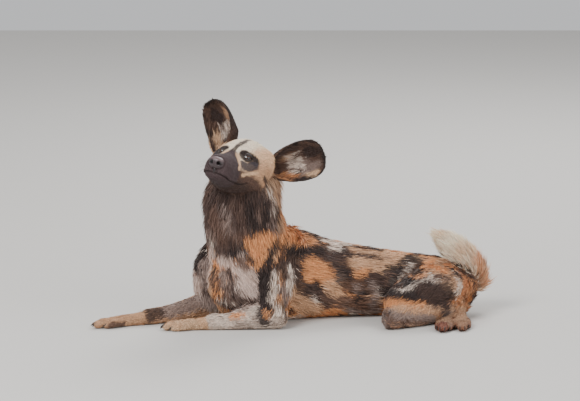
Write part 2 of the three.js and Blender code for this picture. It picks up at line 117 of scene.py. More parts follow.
UPPER_ARM = {
    "left": np.array([
        [-34, -108, 168, 54, 30, 40],
        [-38, -124, 130, 62, 36, 44],
        [-40, -140, 88, 50, 36, 42],
        [-40, -156, 46, 33, 32, 34],
    ], float),
    "right": np.array([
        [-172, -22, 168, 54, 30, 40],
        [-190, -34, 130, 60, 36, 44],
        [-200, -36, 88, 48, 36, 42],
        [-200, -32, 46, 33, 32, 34],
    ], float),
}
FOREARM = {
    "left": np.array([
        [-30, -158, 34, 32, 32, 34],
        [-62, -162, 34, 31, 32, 34],
        [-110, -168, 28, 25, 25, 28],
        [-160, -172, 23, 20, 20, 23],
        [-196, -174, 22, 20, 20, 22],
    ], float),
    "right": np.array([
        [-190, -22, 38, 32, 34, 38],
        [-222, -40, 36, 31, 32, 36],
        [-270, -66, 29, 25, 25, 29],
        [-322, -94, 24, 20, 20, 24],
        [-360, -112, 22, 20, 20, 22],
    ], float),
}
THIGH = {
    "left": np.array([
        [414, -2, 84, 62, 44, 58],
        [376, -34, 90, 80, 46, 54],
        [332, -74, 84, 70, 42, 46],
        [292, -108, 71, 48, 36, 38],
        [266, -128, 60, 34, 32, 32],
    ], float),
    "right": np.array([
        [396, -18, 46, 62, 40, 48],
        [350, -62, 44, 64, 38, 46],
        [308, -112, 38, 48, 34, 40],
        [272, -152, 32, 34, 31, 33],
        [258, -166, 30, 29, 28, 30],
    ], float),
}
SHANK = {
    "left": np.array([
        [258, -128, 58, 28, 29, 27],
        [296, -112, 55, 29, 28, 26],
        [340, -90, 49, 25, 23, 21],
        [386, -64, 40, 16, 16, 14],
        [424, -44, 34, 15, 18, 16],
        [440, -36, 33, 14, 17, 15],
    ], float),
    "right": np.array([
        [250, -166, 30, 26, 27, 30],
        [286, -152, 29, 27, 26, 29],
        [330, -128, 26, 22, 21, 26],
        [370, -104, 21, 15, 15, 20],
        [398, -88, 20, 14, 14, 19],
        [410, -80, 20, 13, 14, 18],
    ], float),
}
FOOT = {
    "fore_left": ([-192, -174, 20], [-322, -184, 11]),
    "fore_right": ([-356, -110, 20], [-498, -162, 11]),
    "hind_left": ([434, -34, 30], [432, -210, 11]),
    "hind_right": ([404, -82, 18], [380, -222, 11]),
}
TOES = [(-0.36, 0.84, 0), (-0.13, 1.0, 1), (0.13, 1.0, 1), (0.36, 0.84, 0)]  # side, reach, lift
TAIL = np.array([
    [408, 14, 100, 26, 26, 26],
    [440, 28, 88, 27, 26, 26],
    [464, 40, 78, 28, 26, 26],
], float)
BRUSH = np.array([
    [474, 46, 74, 30, 26, 26],
    [466, 46, 98, 38, 30, 30],
    [452, 42, 126, 40, 30, 30],
    [430, 35, 156, 36, 28, 28],
    [404, 26, 184, 25, 21, 21],
    [378, 15, 206, 9, 9, 9],
], float)
OUTWARD = {"left": (0.62, -0.79, 0.0), "right": (-0.62, 0.79, 0.0)}

# Head frame: forward along the muzzle, left, and up, from the point midway between the eyes.
HEAD_AT = np.array([-137.0, -170.0, 444.0])
FORWARD = np.array([-0.336, -0.903, 0.268])
FORWARD /= np.linalg.norm(FORWARD)
UP = np.array([0.278, 0.177, 0.944])
UP -= FORWARD * UP.dot(FORWARD)
UP /= np.linalg.norm(UP)
LEFT = np.cross(UP, FORWARD)
HEAD_AXES = np.stack([FORWARD, LEFT, UP])

# Head stations [forward, half width, top, bottom, how boxy], and its swellings and hollows.
SKULL = np.array([
    [104, 21, -20, -56, 2.2],
    [99, 29, -14, -70, 2.4],
    [86, 34, -10, -77, 2.6],
    [68, 36.5, -6, -81, 2.7],
    [50, 39, -2, -84, 2.6],
    [34, 43, 3, -86, 2.5],
    [18, 49, 12, -89, 2.4],
    [0, 58, 24, -92, 2.3],
    [-22, 66, 34, -95, 2.3],
    [-48, 73, 41, -97, 2.3],
    [-74, 74, 44, -94, 2.3],
    [-100, 68, 40, -86, 2.2],
    [-122, 54, 28, -70, 2.1],
    [-138, 32, 8, -46, 2],
], float)
FACE = [
    (12, 27, 18, 17, 5),  # brow
    (8, 40, -2, 14, -9),  # eye socket
    (34, 26, -6, 20, -5),  # beside the bridge of the nose
    (-20, 62, -24, 28, 5),  # cheekbone
    (-50, 68, -62, 34, 7),  # jaw muscle
    (72, 34, -56, 22, 4),  # upper lip
    (26, 42, -76, 18, 4),  # corner of the mouth
    (-82, 60, 24, 30, 9),  # root of the ear
    (-60, 0, 42, 34, 3),  # crown
]
EARS = {
    "left": dict(root=(-42, -108, 400), axis=(0.965, 0.05, 0.25), mouth=(-0.1, -0.98, 0.17)),
    "right": dict(root=(-168, -82, 439), axis=(-0.2, 0.32, 0.93), mouth=(-0.74, -0.66, 0.08)),
}
EAR = np.array([  # share of length, half width, half angle of the roll, thickness share
    [-0.1, 0.42, 120, 1.6],
    [0.1, 0.66, 110, 1.4],
    [0.3, 0.88, 92, 1.1],
    [0.52, 1, 74, 0.9],
    [0.72, 0.99, 60, 0.8],
    [0.87, 0.84, 50, 0.7],
    [0.96, 0.56, 42, 0.6],
    [1, 0.22, 36, 0.5],
], float)


# Frames: the head's own, the part's in millimetres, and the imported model's in metres.
def in_head(points):
    """Head coordinates (forward, left, up) to the part's millimetres: origin plus the three axes."""
    return HEAD_AT + np.asarray(points, float) @ HEAD_AXES


def to_head(points):
    """The part's millimetres to head coordinates: the dot product with each axis."""
    return (points - HEAD_AT) @ HEAD_AXES.T


low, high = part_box("eye_left")
eye_middle = (np.array(low) + np.array(high)) / 2
SHIFT = eye_middle / MM - in_head([EYE_FORWARD, EYE_SIDE, 0])
SHIFT[2] = 0.0


def place(points):
    """The part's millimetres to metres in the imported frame."""
    return (np.asarray(points, float) + SHIFT) * MM


def unplace(points):
    """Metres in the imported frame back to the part's millimetres."""
    return np.asarray(points, float) / MM - SHIFT


# Forms: swept limbs, the head, the ears and the feet.
def unit(v):
    """Vectors scaled to length one."""
    v = np.asarray(v, float)
    return v / np.maximum(np.linalg.norm(v, axis=-1, keepdims=True), 1e-12)


def row_at(rows, t):
    """Rows between the rows of a table: a Catmull-Rom spline through every column, at each t."""
    last = len(rows) - 1
    t = np.clip(np.asarray(t, float), 0, last)
    i = np.minimum(t.astype(int), last - 1)
    f = (t - i)[..., None]
    a, b, c, d = (rows[np.clip(i + k, 0, last)] for k in (-1, 0, 1, 2))
    m, n = (c - a) / 2, (d - b) / 2
    f2, f3 = f * f, f * f * f
    return (2 * f3 - 3 * f2 + 1) * b + (f3 - 2 * f2 + f) * m + (3 * f2 - 2 * f3) * c + (f3 - f2) * n


def rounded(angle, power):
    """Unit superellipse: cosine and sine, each raised to 2/power with its sign kept."""
    c, s = np.cos(angle), np.sin(angle)
    return np.sign(c) * np.abs(c) ** (2 / power), np.sign(s) * np.abs(s) ** (2 / power)


def along(rows, t, up):
    """Centre, tangent, side and rise of a row of stations at each t."""
    last = len(rows) - 1
    step = 0.02
    ahead = row_at(rows, np.minimum(t + step, last))[..., :3]
    behind = row_at(rows, np.maximum(t - step, 0))[..., :3]
    tangent = unit(ahead - behind)
    side = unit(np.cross(tangent, np.asarray(up, float)))
    rise = unit(np.cross(side, tangent))
    return row_at(rows, t), tangent, side, rise


def closed_grid(rings, first, last):
    """Triangles over rings of points (rings, sides, 3) with a pole at each end, facing outwards."""
    count, sides = rings.shape[:2]
    points = np.concatenate([rings.reshape(-1, 3), [first], [last]])
    i, j = np.meshgrid(np.arange(count - 1), np.arange(sides), indexing="ij")
    a = (i * sides + j).ravel()
    b = (i * sides + (j + 1) % sides).ravel()
    body = np.concatenate([np.stack([a, b, a + sides], 1), np.stack([b, b + sides, a + sides], 1)])
    k = np.arange(sides)
    after = (k + 1) % sides
    base = (count - 1) * sides
    start = np.stack([np.full(sides, count * sides), after, k], 1)
    end = np.stack([np.full(sides, count * sides + 1), base + k, base + after], 1)
    return points, np.concatenate([body, start, end])


def limb(rows, up=(0, 0, 1), rings=40, sides=36, power=2.0, dome=0.8, extra=0.0):
    """A limb or trunk: superellipse sections across a row of stations, with domed ends.

    Each section is centre + side*cos*half width + rise*sin*height, and the caps are the end sections
    shrunk by a cosine and moved out by a sine.
    """
    last = len(rows) - 1
    t = np.linspace(0, last, rings)
    row, tangent, side, rise = along(rows, t, up)
    size = np.maximum(row[:, 3:6] + extra, THINNEST)
    c, s = rounded(-2 * np.pi * np.arange(sides) / sides, power)

    def section(k, scale, shift):
        height = np.where(s > 0, size[k, 1], size[k, 2])
        return (row[k, :3] + shift + np.outer(c * size[k, 0] * scale, side[k])
                + np.outer(s * height * scale, rise[k]))

    caps = np.radians([75, 60, 45, 30, 15])
    pieces, poles = [], []
    for k, sign in ((0, -1), (rings - 1, 1)):
        reach = size[k].min() * dome
        domed = [section(k, np.cos(a), tangent[k] * sign * reach * np.sin(a)) for a in caps]
        pieces.append(domed)
        poles.append(row[k, :3] + tangent[k] * sign * reach)
    body = [section(k, 1.0, 0.0) for k in range(rings)]
    return closed_grid(np.array(pieces[0] + body + pieces[1][::-1]), poles[0], poles[1])


def head_row(forward):
    """The head's station at a place along it, found on the spline's own forward column."""
    t = np.linspace(0, len(SKULL) - 1, 400)
    rows = row_at(SKULL, t)
    return rows[np.argmin(np.abs(rows[:, 0] - forward))]


def head_side(forward, up, extra=0.0):
    """Half width of the head at a place along it and a height: the superellipse solved for its side."""
    row = head_row(forward)
    middle, half = (row[2] + row[3]) / 2, (row[2] - row[3]) / 2
    s = np.clip((up - middle) / (half + extra), -0.999, 0.999)
    narrow = 1 - 0.16 * max(0.0, s) ** 2 - 0.1 * max(0.0, -s) ** 2
    return (row[1] + extra) * (1 - abs(s) ** row[4]) ** (1 / row[4]) * narrow


GROOVE_DEPTH = 3.4
GROOVE_WIDTH = 2.0
UPPER_LIP = 2.2
LOWER_LIP = 0.8
LIP_AWAY = 4.8
LIP_WIDTH = 3.0
WRINKLE = 0.5
MOUTH_LINE = [(102, -57), (97, -60), (87, -62), (70, -65), (50, -67), (32, -68), (16, -66), (6, -60)]
MOUTH = np.array([[104.5, 0, -55.5]] + [[x, head_side(x, z), z] for x, z in MOUTH_LINE])


def head_grid(rings=170, sides=170, extra=0.0, detail=True):
    """The head: superellipse sections narrowed above and below, pushed by Gaussian swellings.

    The line of the mouth is a groove: the surface sinks by a Gaussian of its distance to that line,
    and the lip above it swells by a wider one.
    """
    last = len(SKULL) - 1
    t = np.linspace(0, last, rings)
    row = row_at(SKULL, t)[:, None, :]
    a = -2 * np.pi * np.arange(sides)[None, :] / sides
    power = row[..., 4]
    c, s = rounded(a, power)
    middle = (row[..., 2] + row[..., 3]) / 2
    half = (row[..., 2] - row[..., 3]) / 2
    width = row[..., 1]
    narrow = 1 - 0.16 * np.maximum(0, s) ** 2 - 0.1 * np.maximum(0, -s) ** 2
    p = np.stack([row[..., 0] + 0 * s, c * (width + extra) * narrow, middle + s * (half + extra)], -1)
    out = unit(np.stack([0 * s, c / (width + 1), s / (half + 1)], -1))
    for x, y, z, radius, push in FACE:
        away = np.sqrt((p[..., 0] - x) ** 2 + (np.abs(p[..., 1]) - y) ** 2 + (p[..., 2] - z) ** 2)
        p = p + out * (push * np.exp(-1.6 * (away / radius) ** 2))[..., None]
    if detail:
        distance = mouth_distance(p)
        above = p[..., 2] > np.interp(-p[..., 0], -MOUTH[:, 0], MOUTH[:, 2])
        groove = -GROOVE_DEPTH * np.exp(-(distance / GROOVE_WIDTH) ** 2)
        lip = np.where(above, UPPER_LIP, LOWER_LIP) * np.exp(-((distance - LIP_AWAY) / LIP_WIDTH) ** 2)
        p = p + out * (groove + lip)[..., None]
        wrinkle = WRINKLE * np.sin(p[..., 2] * 0.8 + 0.25 * p[..., 0])
        p = p + out * (wrinkle * np.exp(-((p[..., 0] - 16) / 14) ** 2) * (p[..., 2] < -40))[..., None]
    poles = [[SKULL[0, 0] + 5 + extra, 0, -40], [SKULL[last, 0] - 6 - extra, 0, -18]]
    points, faces = closed_grid(p, *poles)
    return in_head(points), faces


def segment_distance(points, a, b):
    """Distance from each point to the segment from a to b, and how far along it the nearest place is."""
    ab = b - a
    f = np.clip(((points - a) @ ab) / max(ab @ ab, 1e-9), 0, 1)
    return np.linalg.norm(points - a - f[..., None] * ab, axis=-1), f


def mouth_distance(p):
    """Distance to the line of the mouth, on both sides at once by taking the side's absolute value."""
    folded = np.stack([p[..., 0], np.abs(p[..., 1]), p[..., 2]], -1)
    best = np.full(p.shape[:-1], 1e9)
    for a, b in zip(MOUTH[:-1], MOUTH[1:]):
        best = np.minimum(best, segment_distance(folded, a, b)[0])
    return best


def ear_axes(name):
    """An ear's root and its three axes: along it, out of its opening, and across it."""
    root, axis, mouth = (np.array(EARS[name][k], float) for k in ("root", "axis", "mouth"))
    axis = unit(axis)
    opening = unit(mouth - axis * mouth.dot(axis))
    return root, axis, opening, np.cross(opening, axis)


def ear_grid(name, rings=56, steps=44):
    """An ear: a blade rolled about its axis, wide at the middle, as an outer and an inner wall.

    Each ring is an arc of angle +-roll on a radius that gives the width; the walls lie half a
    thickness outside and inside it, and a ripple stands for the ribs of the cartilage.
    """
    root, axis, opening, across = ear_axes(name)
    row = row_at(EAR, np.linspace(0, len(EAR) - 1, rings))
    angle = np.radians(row[:, 2])[:, None]
    radius = row[:, 1:2] * EAR_WIDTH / 2 / np.sin(np.minimum(angle, np.pi / 2))
    depth = EAR_THICKNESS * row[:, 3:4] / 2
    back = np.cos(np.minimum(angle, np.pi / 2)) * radius
    share = 2 * np.arange(steps + 1)[None, :] / steps - 1
    edge = 1 - np.abs(share) ** 6 * 0.7

    def wall(sign):
        a = angle * share
        ripple = 0.5 * np.sin(9 * share + 4 * row[:, 0:1]) * (sign < 0)
        r = radius + sign * depth * edge + ripple
        curl = 5 * np.maximum(0, row[:, 0:1] - 0.55) ** 2 * 8
        return (root + (row[:, 0:1] * EAR_LENGTH)[..., None] * axis + (r * np.sin(a))[..., None] * across
                + (back - r * np.cos(a) + curl)[..., None] * opening)

    rings_of = np.concatenate([wall(1), wall(-1)[:, ::-1]], 1)
    return closed_grid(rings_of, rings_of[0].mean(0), rings_of[-1].mean(0))


def foot_forms(name, extra=0.0):
    """A foot: its long middle part, four toes, and the pads beneath, as separate swept forms."""
    heel, toes = (np.array(v, float) for v in FOOT[name])
    way = toes - heel
    length = np.linalg.norm(way)
    way /= length
    side = unit(np.cross([0, 0, 1], way))

    def at(reach, across, height, sizes):
        p = heel + way * reach * length + side * across * PAW_WIDTH
        return [p[0], p[1], height, *sizes]

    forms = [limb(np.array([
        [*heel, 17, 17, heel[2]],
        at(0.25, 0, 18, (15, 14, 18)),
        at(0.5, 0, 17, (17, 12, 17)),
        at(0.72, 0, 14, (21, 10, 14)),
    ]), rings=24, sides=28, extra=extra)]
    for across, reach, lift in TOES:
        forms.append(limb(np.array([
            at(reach - 0.34, across * 0.72, 14 + lift, (7.5, 8, 12)),
            at(reach - 0.22, across * 0.95, 15 + lift, (8.2, 9, 13)),
            at(reach - 0.12, across, 11 + lift, (7.8, 8, 11)),
            at(reach - 0.07, across, 9 + lift, (6.6, 7, 9)),
        ]), rings=16, sides=20, dome=1.0, extra=extra))
    return forms


def claw_forms(name):
    """Claws: tapered, down-curved cones from the end of each toe."""
    heel, toes = (np.array(v, float) for v in FOOT[name])
    way = toes - heel
    length = np.linalg.norm(way)
    way /= length
    side = unit(np.cross([0, 0, 1], way))
    forms = []
    for across, reach, lift in TOES:
        rows = []
        for share, height, half in CLAW:
            p = heel + way * ((reach - 0.1) * length + share * CLAW_LENGTH) + side * across * PAW_WIDTH
            rows.append([p[0], p[1], height + lift, half * 0.75, half, half])
        forms.append(limb(np.array(rows), rings=14, sides=10, dome=1.0))
    return forms


# Meshes: from points to an object, and from overlapping forms to one skin.
def mesh_object(name, points, corners, per_face=3, smooth=True):
    """An object from points in metres and a flat array of corners, per_face corners to a face."""
    mesh = bpy.data.meshes.new(name)
    corners = np.ascontiguousarray(corners, dtype=np.int32).ravel()
    faces = len(corners) // per_face
    mesh.vertices.add(len(points))
    mesh.vertices.foreach_set("co", np.asarray(points, dtype=np.float32).ravel())
    mesh.loops.add(len(corners))
    mesh.loops.foreach_set("vertex_index", corners)
    mesh.polygons.add(faces)
    mesh.polygons.foreach_set("loop_start", np.arange(faces, dtype=np.int32) * per_face)
    mesh.polygons.foreach_set("use_smooth", np.full(faces, smooth))
    mesh.update(calc_edges=True)
    made = bpy.data.objects.new(name, mesh)
    bpy.context.scene.collection.objects.link(made)
    return made


def joined(forms):
    """Several (points, triangles) pairs as one."""
    points, faces, count = [], [], 0
    for p, f in forms:
        points.append(p)
        faces.append(f + count)
        count += len(p)
    return np.concatenate(points), np.concatenate(faces)


def triangles_of(mesh):
    """Points and triangles of a mesh whose faces may be quads."""
    mesh.calc_loop_triangles()
    points = np.empty(len(mesh.vertices) * 3, np.float32)
    mesh.vertices.foreach_get("co", points)
    faces = np.empty(len(mesh.loop_triangles) * 3, np.int32)
    mesh.loop_triangles.foreach_get("vertices", faces)
    return points.reshape(-1, 3).astype(float), faces.reshape(-1, 3)


def fused(forms, voxel):
    """Overlapping closed forms (in the part's millimetres) as one skin, by a voxel remesh."""
    points, faces = joined(forms)
    rough = mesh_object("rough", place(points), faces)
    remesh = rough.modifiers.new("remesh", "REMESH")
    remesh.mode = "VOXEL"
    remesh.voxel_size = voxel
    evaluated = rough.evaluated_get(bpy.context.evaluated_depsgraph_get())
    made = bpy.data.meshes.new_from_object(evaluated)
    points, faces = triangles_of(made)
    bpy.data.objects.remove(rough)
    bpy.data.meshes.remove(made)
    return points, faces


def relaxed(points, faces, steps, amount):
    """Each point drawn towards the mean of its neighbours, steps times, by amount (per point)."""
    edges = np.concatenate([faces[:, [0, 1]], faces[:, [1, 2]], faces[:, [2, 0]]])
    ends = np.concatenate([edges, edges[:, ::-1]])
    number = np.bincount(ends[:, 0], minlength=len(points)).astype(float)[:, None]
    for _ in range(steps):
        mean = np.stack([np.bincount(ends[:, 0], points[ends[:, 1], k], len(points)) for k in range(3)], 1)
        points = points + (mean / np.maximum(number, 1) - points) * amount[:, None]
    return points


# Random fields, and how colours are mixed.
def lattice(ix, iy, iz, seed):
    """A repeatable random number from 0 to 1 at each whole-numbered place, by mixing its bits."""
    h = (ix * np.int64(73856093)) ^ (iy * np.int64(19349663)) ^ (iz * np.int64(83492791))
    h = h ^ np.int64(seed * 7919)
    h = (h ^ (h >> 13)) * np.int64(1274126177) & np.int64(0x7FFFFFFF)
    h = (h ^ (h >> 11)) * np.int64(668265263) & np.int64(0x7FFFFFFF)
    return ((h ^ (h >> 15)) & np.int64(0xFFFFF)) / float(0xFFFFF)


def noise(points, size, seed):
    """Smooth random field from -1 to 1: random corners of a lattice of this size, blended smoothly."""
    q = np.asarray(points) / size + 1000.0
    i = np.floor(q).astype(np.int64)
    f = q - i
    f = f * f * (3 - 2 * f)
    total = np.zeros(len(q))
    for dx in (0, 1):
        for dy in (0, 1):
            for dz in (0, 1):
                w = (np.where(dx, f[:, 0], 1 - f[:, 0]) * np.where(dy, f[:, 1], 1 - f[:, 1])
                     * np.where(dz, f[:, 2], 1 - f[:, 2]))
                total += w * lattice(i[:, 0] + dx, i[:, 1] + dy, i[:, 2] + dz, seed)
    return 2 * total - 1


def blend(colours, ink, share):
    """Colours mixed towards an ink by a share from 0 to 1."""
    share = np.clip(share, 0, 1)[:, None]
    return colours * (1 - share) + ink * share


def step(value, low, high):
    """0 below low, 1 above high, and smooth between."""
    x = np.clip((value - low) / (high - low), 0, 1)
    return x * x * (3 - 2 * x)


def linear(red, green, blue):
    """A screen colour, 0 to 255, as linear light."""
    c = np.array([red, green, blue], float) / 255
    return np.where(c <= 0.04045, c / 12.92, ((c + 0.055) / 1.055) ** 2.4)


INK = {
    "black": linear(48, 36, 33),
    "dark": linear(74, 55, 48),
    "brown": linear(104, 78, 66),
    "grey": linear(146, 126, 117),
    "orange": linear(219, 150, 98),
    "tan": linear(204, 160, 124),
    "buff": linear(234, 194, 156),
    "white": linear(230, 210, 194),
    "cream": linear(252, 232, 208),
    "pale": linear(204, 180, 168),
    "muzzle": linear(78, 62, 63),
    "slate": linear(66, 59, 64),
    "red": linear(140, 84, 66),
    "iris": linear(62, 37, 24),
    "iris_rim": linear(22, 14, 12),
    "eye_white": linear(34, 26, 24),
    "pupil": linear(4, 3, 3),
    "lid_edge": linear(24, 18, 17),
    "nose": linear(62, 50, 52),
    # a painted highlight for the top of the nose pad
    "nose_top_highlight": linear(128, 104, 104),
    "nostril": linear(8, 6, 6),
    "lip": linear(40, 32, 32),
    "whisker": linear(30, 24, 22),
    "claw": linear(46, 38, 34),
    "claw_tip": linear(120, 104, 90),
}

# Camera: the photograph's view, along +Y and 10 degrees down, from far off.
VIEW_DOWN = np.radians(10.0)
VIEW_DISTANCE = 8.5
VIEW_WIDTH = 1.479
PIXEL = 2.55  # millimetres
PHOTO_MIDDLE = (290, 200.5)
GROUND_ROW = 316
LOOK = np.array([0.0, np.cos(VIEW_DOWN), -np.sin(VIEW_DOWN)])
AIM = place([0.0, 0.0, (GROUND_ROW - PHOTO_MIDDLE[1]) * PIXEL / np.cos(VIEW_DOWN)])
EYE_POINT = AIM - LOOK * VIEW_DISTANCE


def add_camera():
    """The camera, with the photograph's framing."""
    data = bpy.data.cameras.new("camera")
    data.sensor_width = 36.0
    data.lens = 36.0 * VIEW_DISTANCE / VIEW_WIDTH
    data.clip_end = 60.0
    made = bpy.data.objects.new("camera", data)
    made.location = EYE_POINT
    made.rotation_euler = Vector(LOOK).to_track_quat("-Z", "Y").to_euler()
    bpy.context.scene.collection.objects.link(made)
    bpy.context.scene.camera = made


add_camera()

# The skin: one fused body, with finer paws, the head and the ears.
LEG_FORMS = [(FOREARM, 36), (THIGH, 44), (SHANK, 36)]


def body_forms():
    """All the flesh but the face, each a little inside the solids."""
    inside = -SKIN_DEPTH
    forms = [
        limb(TRUNK, power=2.2, dome=0.6, rings=80, sides=72, extra=inside),
        limb(NECK, up=(-0.55, -0.83, 0), power=2.1, dome=0.5, rings=50, sides=60, extra=inside),
        limb(TAIL, up=(0, 1, 0), rings=20, sides=24, extra=inside),
        limb(BRUSH, up=(0, 1, 0), rings=50, sides=30, extra=-BRUSH_DEPTH),
        head_grid(70, 60, extra=-THROAT_DEPTH, detail=False),
    ]
    for side in ("left", "right"):
        forms.append(limb(BLADE[side], up=OUTWARD[side], extra=inside))
        forms.append(limb(UPPER_ARM[side], up=OUTWARD[side], extra=inside))
        for table, sides in LEG_FORMS:
            forms.append(limb(table[side], sides=sides, extra=-LEG_DEPTH))
    return forms


def skin_parts():
    """Points and triangles of the skin's four kinds of surface, in metres."""
    body, body_faces = fused(body_forms(), BODY_VOXEL)
    mm = unplace(body)
    soft = np.clip(0.25 + (mm[:, 2] - 10) / 60, 0.25, 0.6)
    body = relaxed(body, body_faces, 9, soft)
    paws, paw_faces = fused([f for name in FOOT for f in foot_forms(name, -PAW_DEPTH)], PAW_VOXEL)
    paws = relaxed(paws, paw_faces, 4, np.full(len(paws), 0.4))
    head, head_faces = head_grid(extra=-FACE_DEPTH)
    ears = joined([ear_grid("left"), ear_grid("right")])
    return [(body, body_faces), (paws, paw_faces), (place(head), head_faces), (place(ears[0]), ears[1])]


parts = skin_parts()
KINDS = np.concatenate([np.full(len(p), k) for k, (p, _) in enumerate(parts)])
BODY, PAWS, HEAD, EARS_KIND = range(4)
skin_points, skin_faces = joined(parts)
skin_points[:, 2] = np.maximum(skin_points[:, 2], FLOOR_GAP * MM)
skin = mesh_object("skin", skin_points, skin_faces)


def point_normals(points, faces):
    """Normal at each point: the sum of the normals of its triangles."""
    n = np.cross(points[faces[:, 1]] - points[faces[:, 0]], points[faces[:, 2]] - points[faces[:, 0]])
    total = np.zeros_like(points)
    for k in range(3):
        for axis in range(3):
            total[:, axis] += np.bincount(faces[:, k], n[:, axis], len(points))
    return unit(total)


skin_normals = point_normals(skin_points, skin_faces)
skin_tree = BVHTree.FromPolygons(skin_points.tolist(), skin_faces.tolist())


FORMS = [("trunk", TRUNK, -1), ("neck", NECK, -1), ("tail", TAIL, 1), ("brush", BRUSH, 1)]
for side in ("left", "right"):
    FORMS += [(f"blade_{side}", BLADE[side], 1), (f"arm_{side}", UPPER_ARM[side], 1),
              (f"forearm_{side}", FOREARM[side], 1), (f"thigh_{side}", THIGH[side], 1),
              (f"shank_{side}", SHANK[side], 1)]
FORM_NAMES = [form[0] for form in FORMS] + ["head"] + list(FOOT) + ["ear_left", "ear_right"]
FORM_SAMPLES = 26
HEAD_SAMPLES = 40
FOOT_SAMPLES = 14
FOOT_RADIUS = 18.0


def lie_samples():
    """Samples down the middle of every form: place, way of the hair, radius, form's number, share."""
    made = []
    for number, (_, rows, sign) in enumerate(FORMS):
        t = np.linspace(0, len(rows) - 1, FORM_SAMPLES)
        row, tangent, _, _ = along(rows, t, (0.01, 0.02, 1))
        share = t / (len(rows) - 1)
        same = np.full(FORM_SAMPLES, number)
        made.append(np.column_stack([row[:, :3], tangent * sign, row[:, 3:6].mean(1), same, share]))
    rows = row_at(SKULL, np.linspace(0, len(SKULL) - 1, HEAD_SAMPLES))
    line = in_head(np.stack([rows[:, 0], 0 * rows[:, 0], (rows[:, 2] + rows[:, 3]) / 2], 1))
    way = unit(np.gradient(line, axis=0))
    radius = (rows[:, 2] - rows[:, 3]) / 2
    same = np.full(HEAD_SAMPLES, len(FORMS))
    made.append(np.column_stack([line, way, radius, same, np.linspace(0, 1, HEAD_SAMPLES)]))
    for k, (heel, toes) in enumerate(FOOT.values()):
        heel, toes = np.array(heel, float), np.array(toes, float)
        share = np.linspace(0, 1, FOOT_SAMPLES)[:, None]
        way = np.repeat([unit(toes - heel)], FOOT_SAMPLES, 0)
        radius = np.full(FOOT_SAMPLES, FOOT_RADIUS)
        same = np.full(FOOT_SAMPLES, len(FORMS) + 1 + k)
        made.append(np.column_stack([heel + (toes - heel) * share, way, radius, same, share]))
    return np.concatenate(made)


SAMPLES = lie_samples()
CHUNK = 20000  # points worked on at a time


def nearness(mm):
    """Squared distance to every sample over its radius, chunk by chunk: |a|^2 + |b|^2 - 2ab."""
    middle = SAMPLES[:, :3]
    length = np.sum(middle ** 2, 1)
    for start in range(0, len(mm), CHUNK):
        part = slice(start, start + CHUNK)
        q = mm[part]
        away = np.sum(q ** 2, 1)[:, None] + length[None] - 2 * q @ middle.T
        yield part, np.maximum(away, 0) / SAMPLES[:, 6] ** 2


def nearest(mm):
    """The sample that each point belongs to."""
    pick = np.zeros(len(mm), int)
    for part, away in nearness(mm):
        pick[part] = np.argmin(away, 1)
    return SAMPLES[pick]


def near_ear(mm, name, reach):
    """True for points nearer to the middle of an ear than a share of its length."""
    root, axis, _, _ = ear_axes(name)
    return np.linalg.norm(mm - root - axis * EAR_LENGTH / 2, axis=1) < EAR_LENGTH * reach


def lie_of(mm, normals, kinds):
    """Direction in which the hair lies: the forms' own directions, weighed by nearness, laid flat.

    The hair of the breast hangs down, and a broad random field bends the whole coat a little.
    """
    total = np.zeros_like(mm)
    for part, away in nearness(mm):
        total[part] = np.exp(-5.0 * away) @ SAMPLES[:, 3:6] + 1e-9
    way = unit(total)
    for name in ("left", "right"):
        way[(kinds == EARS_KIND) & near_ear(mm, name, 1.0)] = ear_axes(name)[1]
    front = step(-mm[:, 0], 20, 90) * step(mm[:, 2], 50, 90) * (kinds == BODY)
    way = way + np.array([0, 0, -1.0]) * (0.12 + 0.75 * front)[:, None] * (kinds == BODY)[:, None]
    swirl = np.stack([noise(mm, 60, 31), noise(mm, 60, 32), noise(mm, 60, 33)], 1)
    way = way + np.where(kinds == BODY, 0.3, 0.1)[:, None] * swirl
    way = way - normals * np.sum(way * normals, 1)[:, None]
    return unit(way)


STROKE_STRENGTH = 0.92
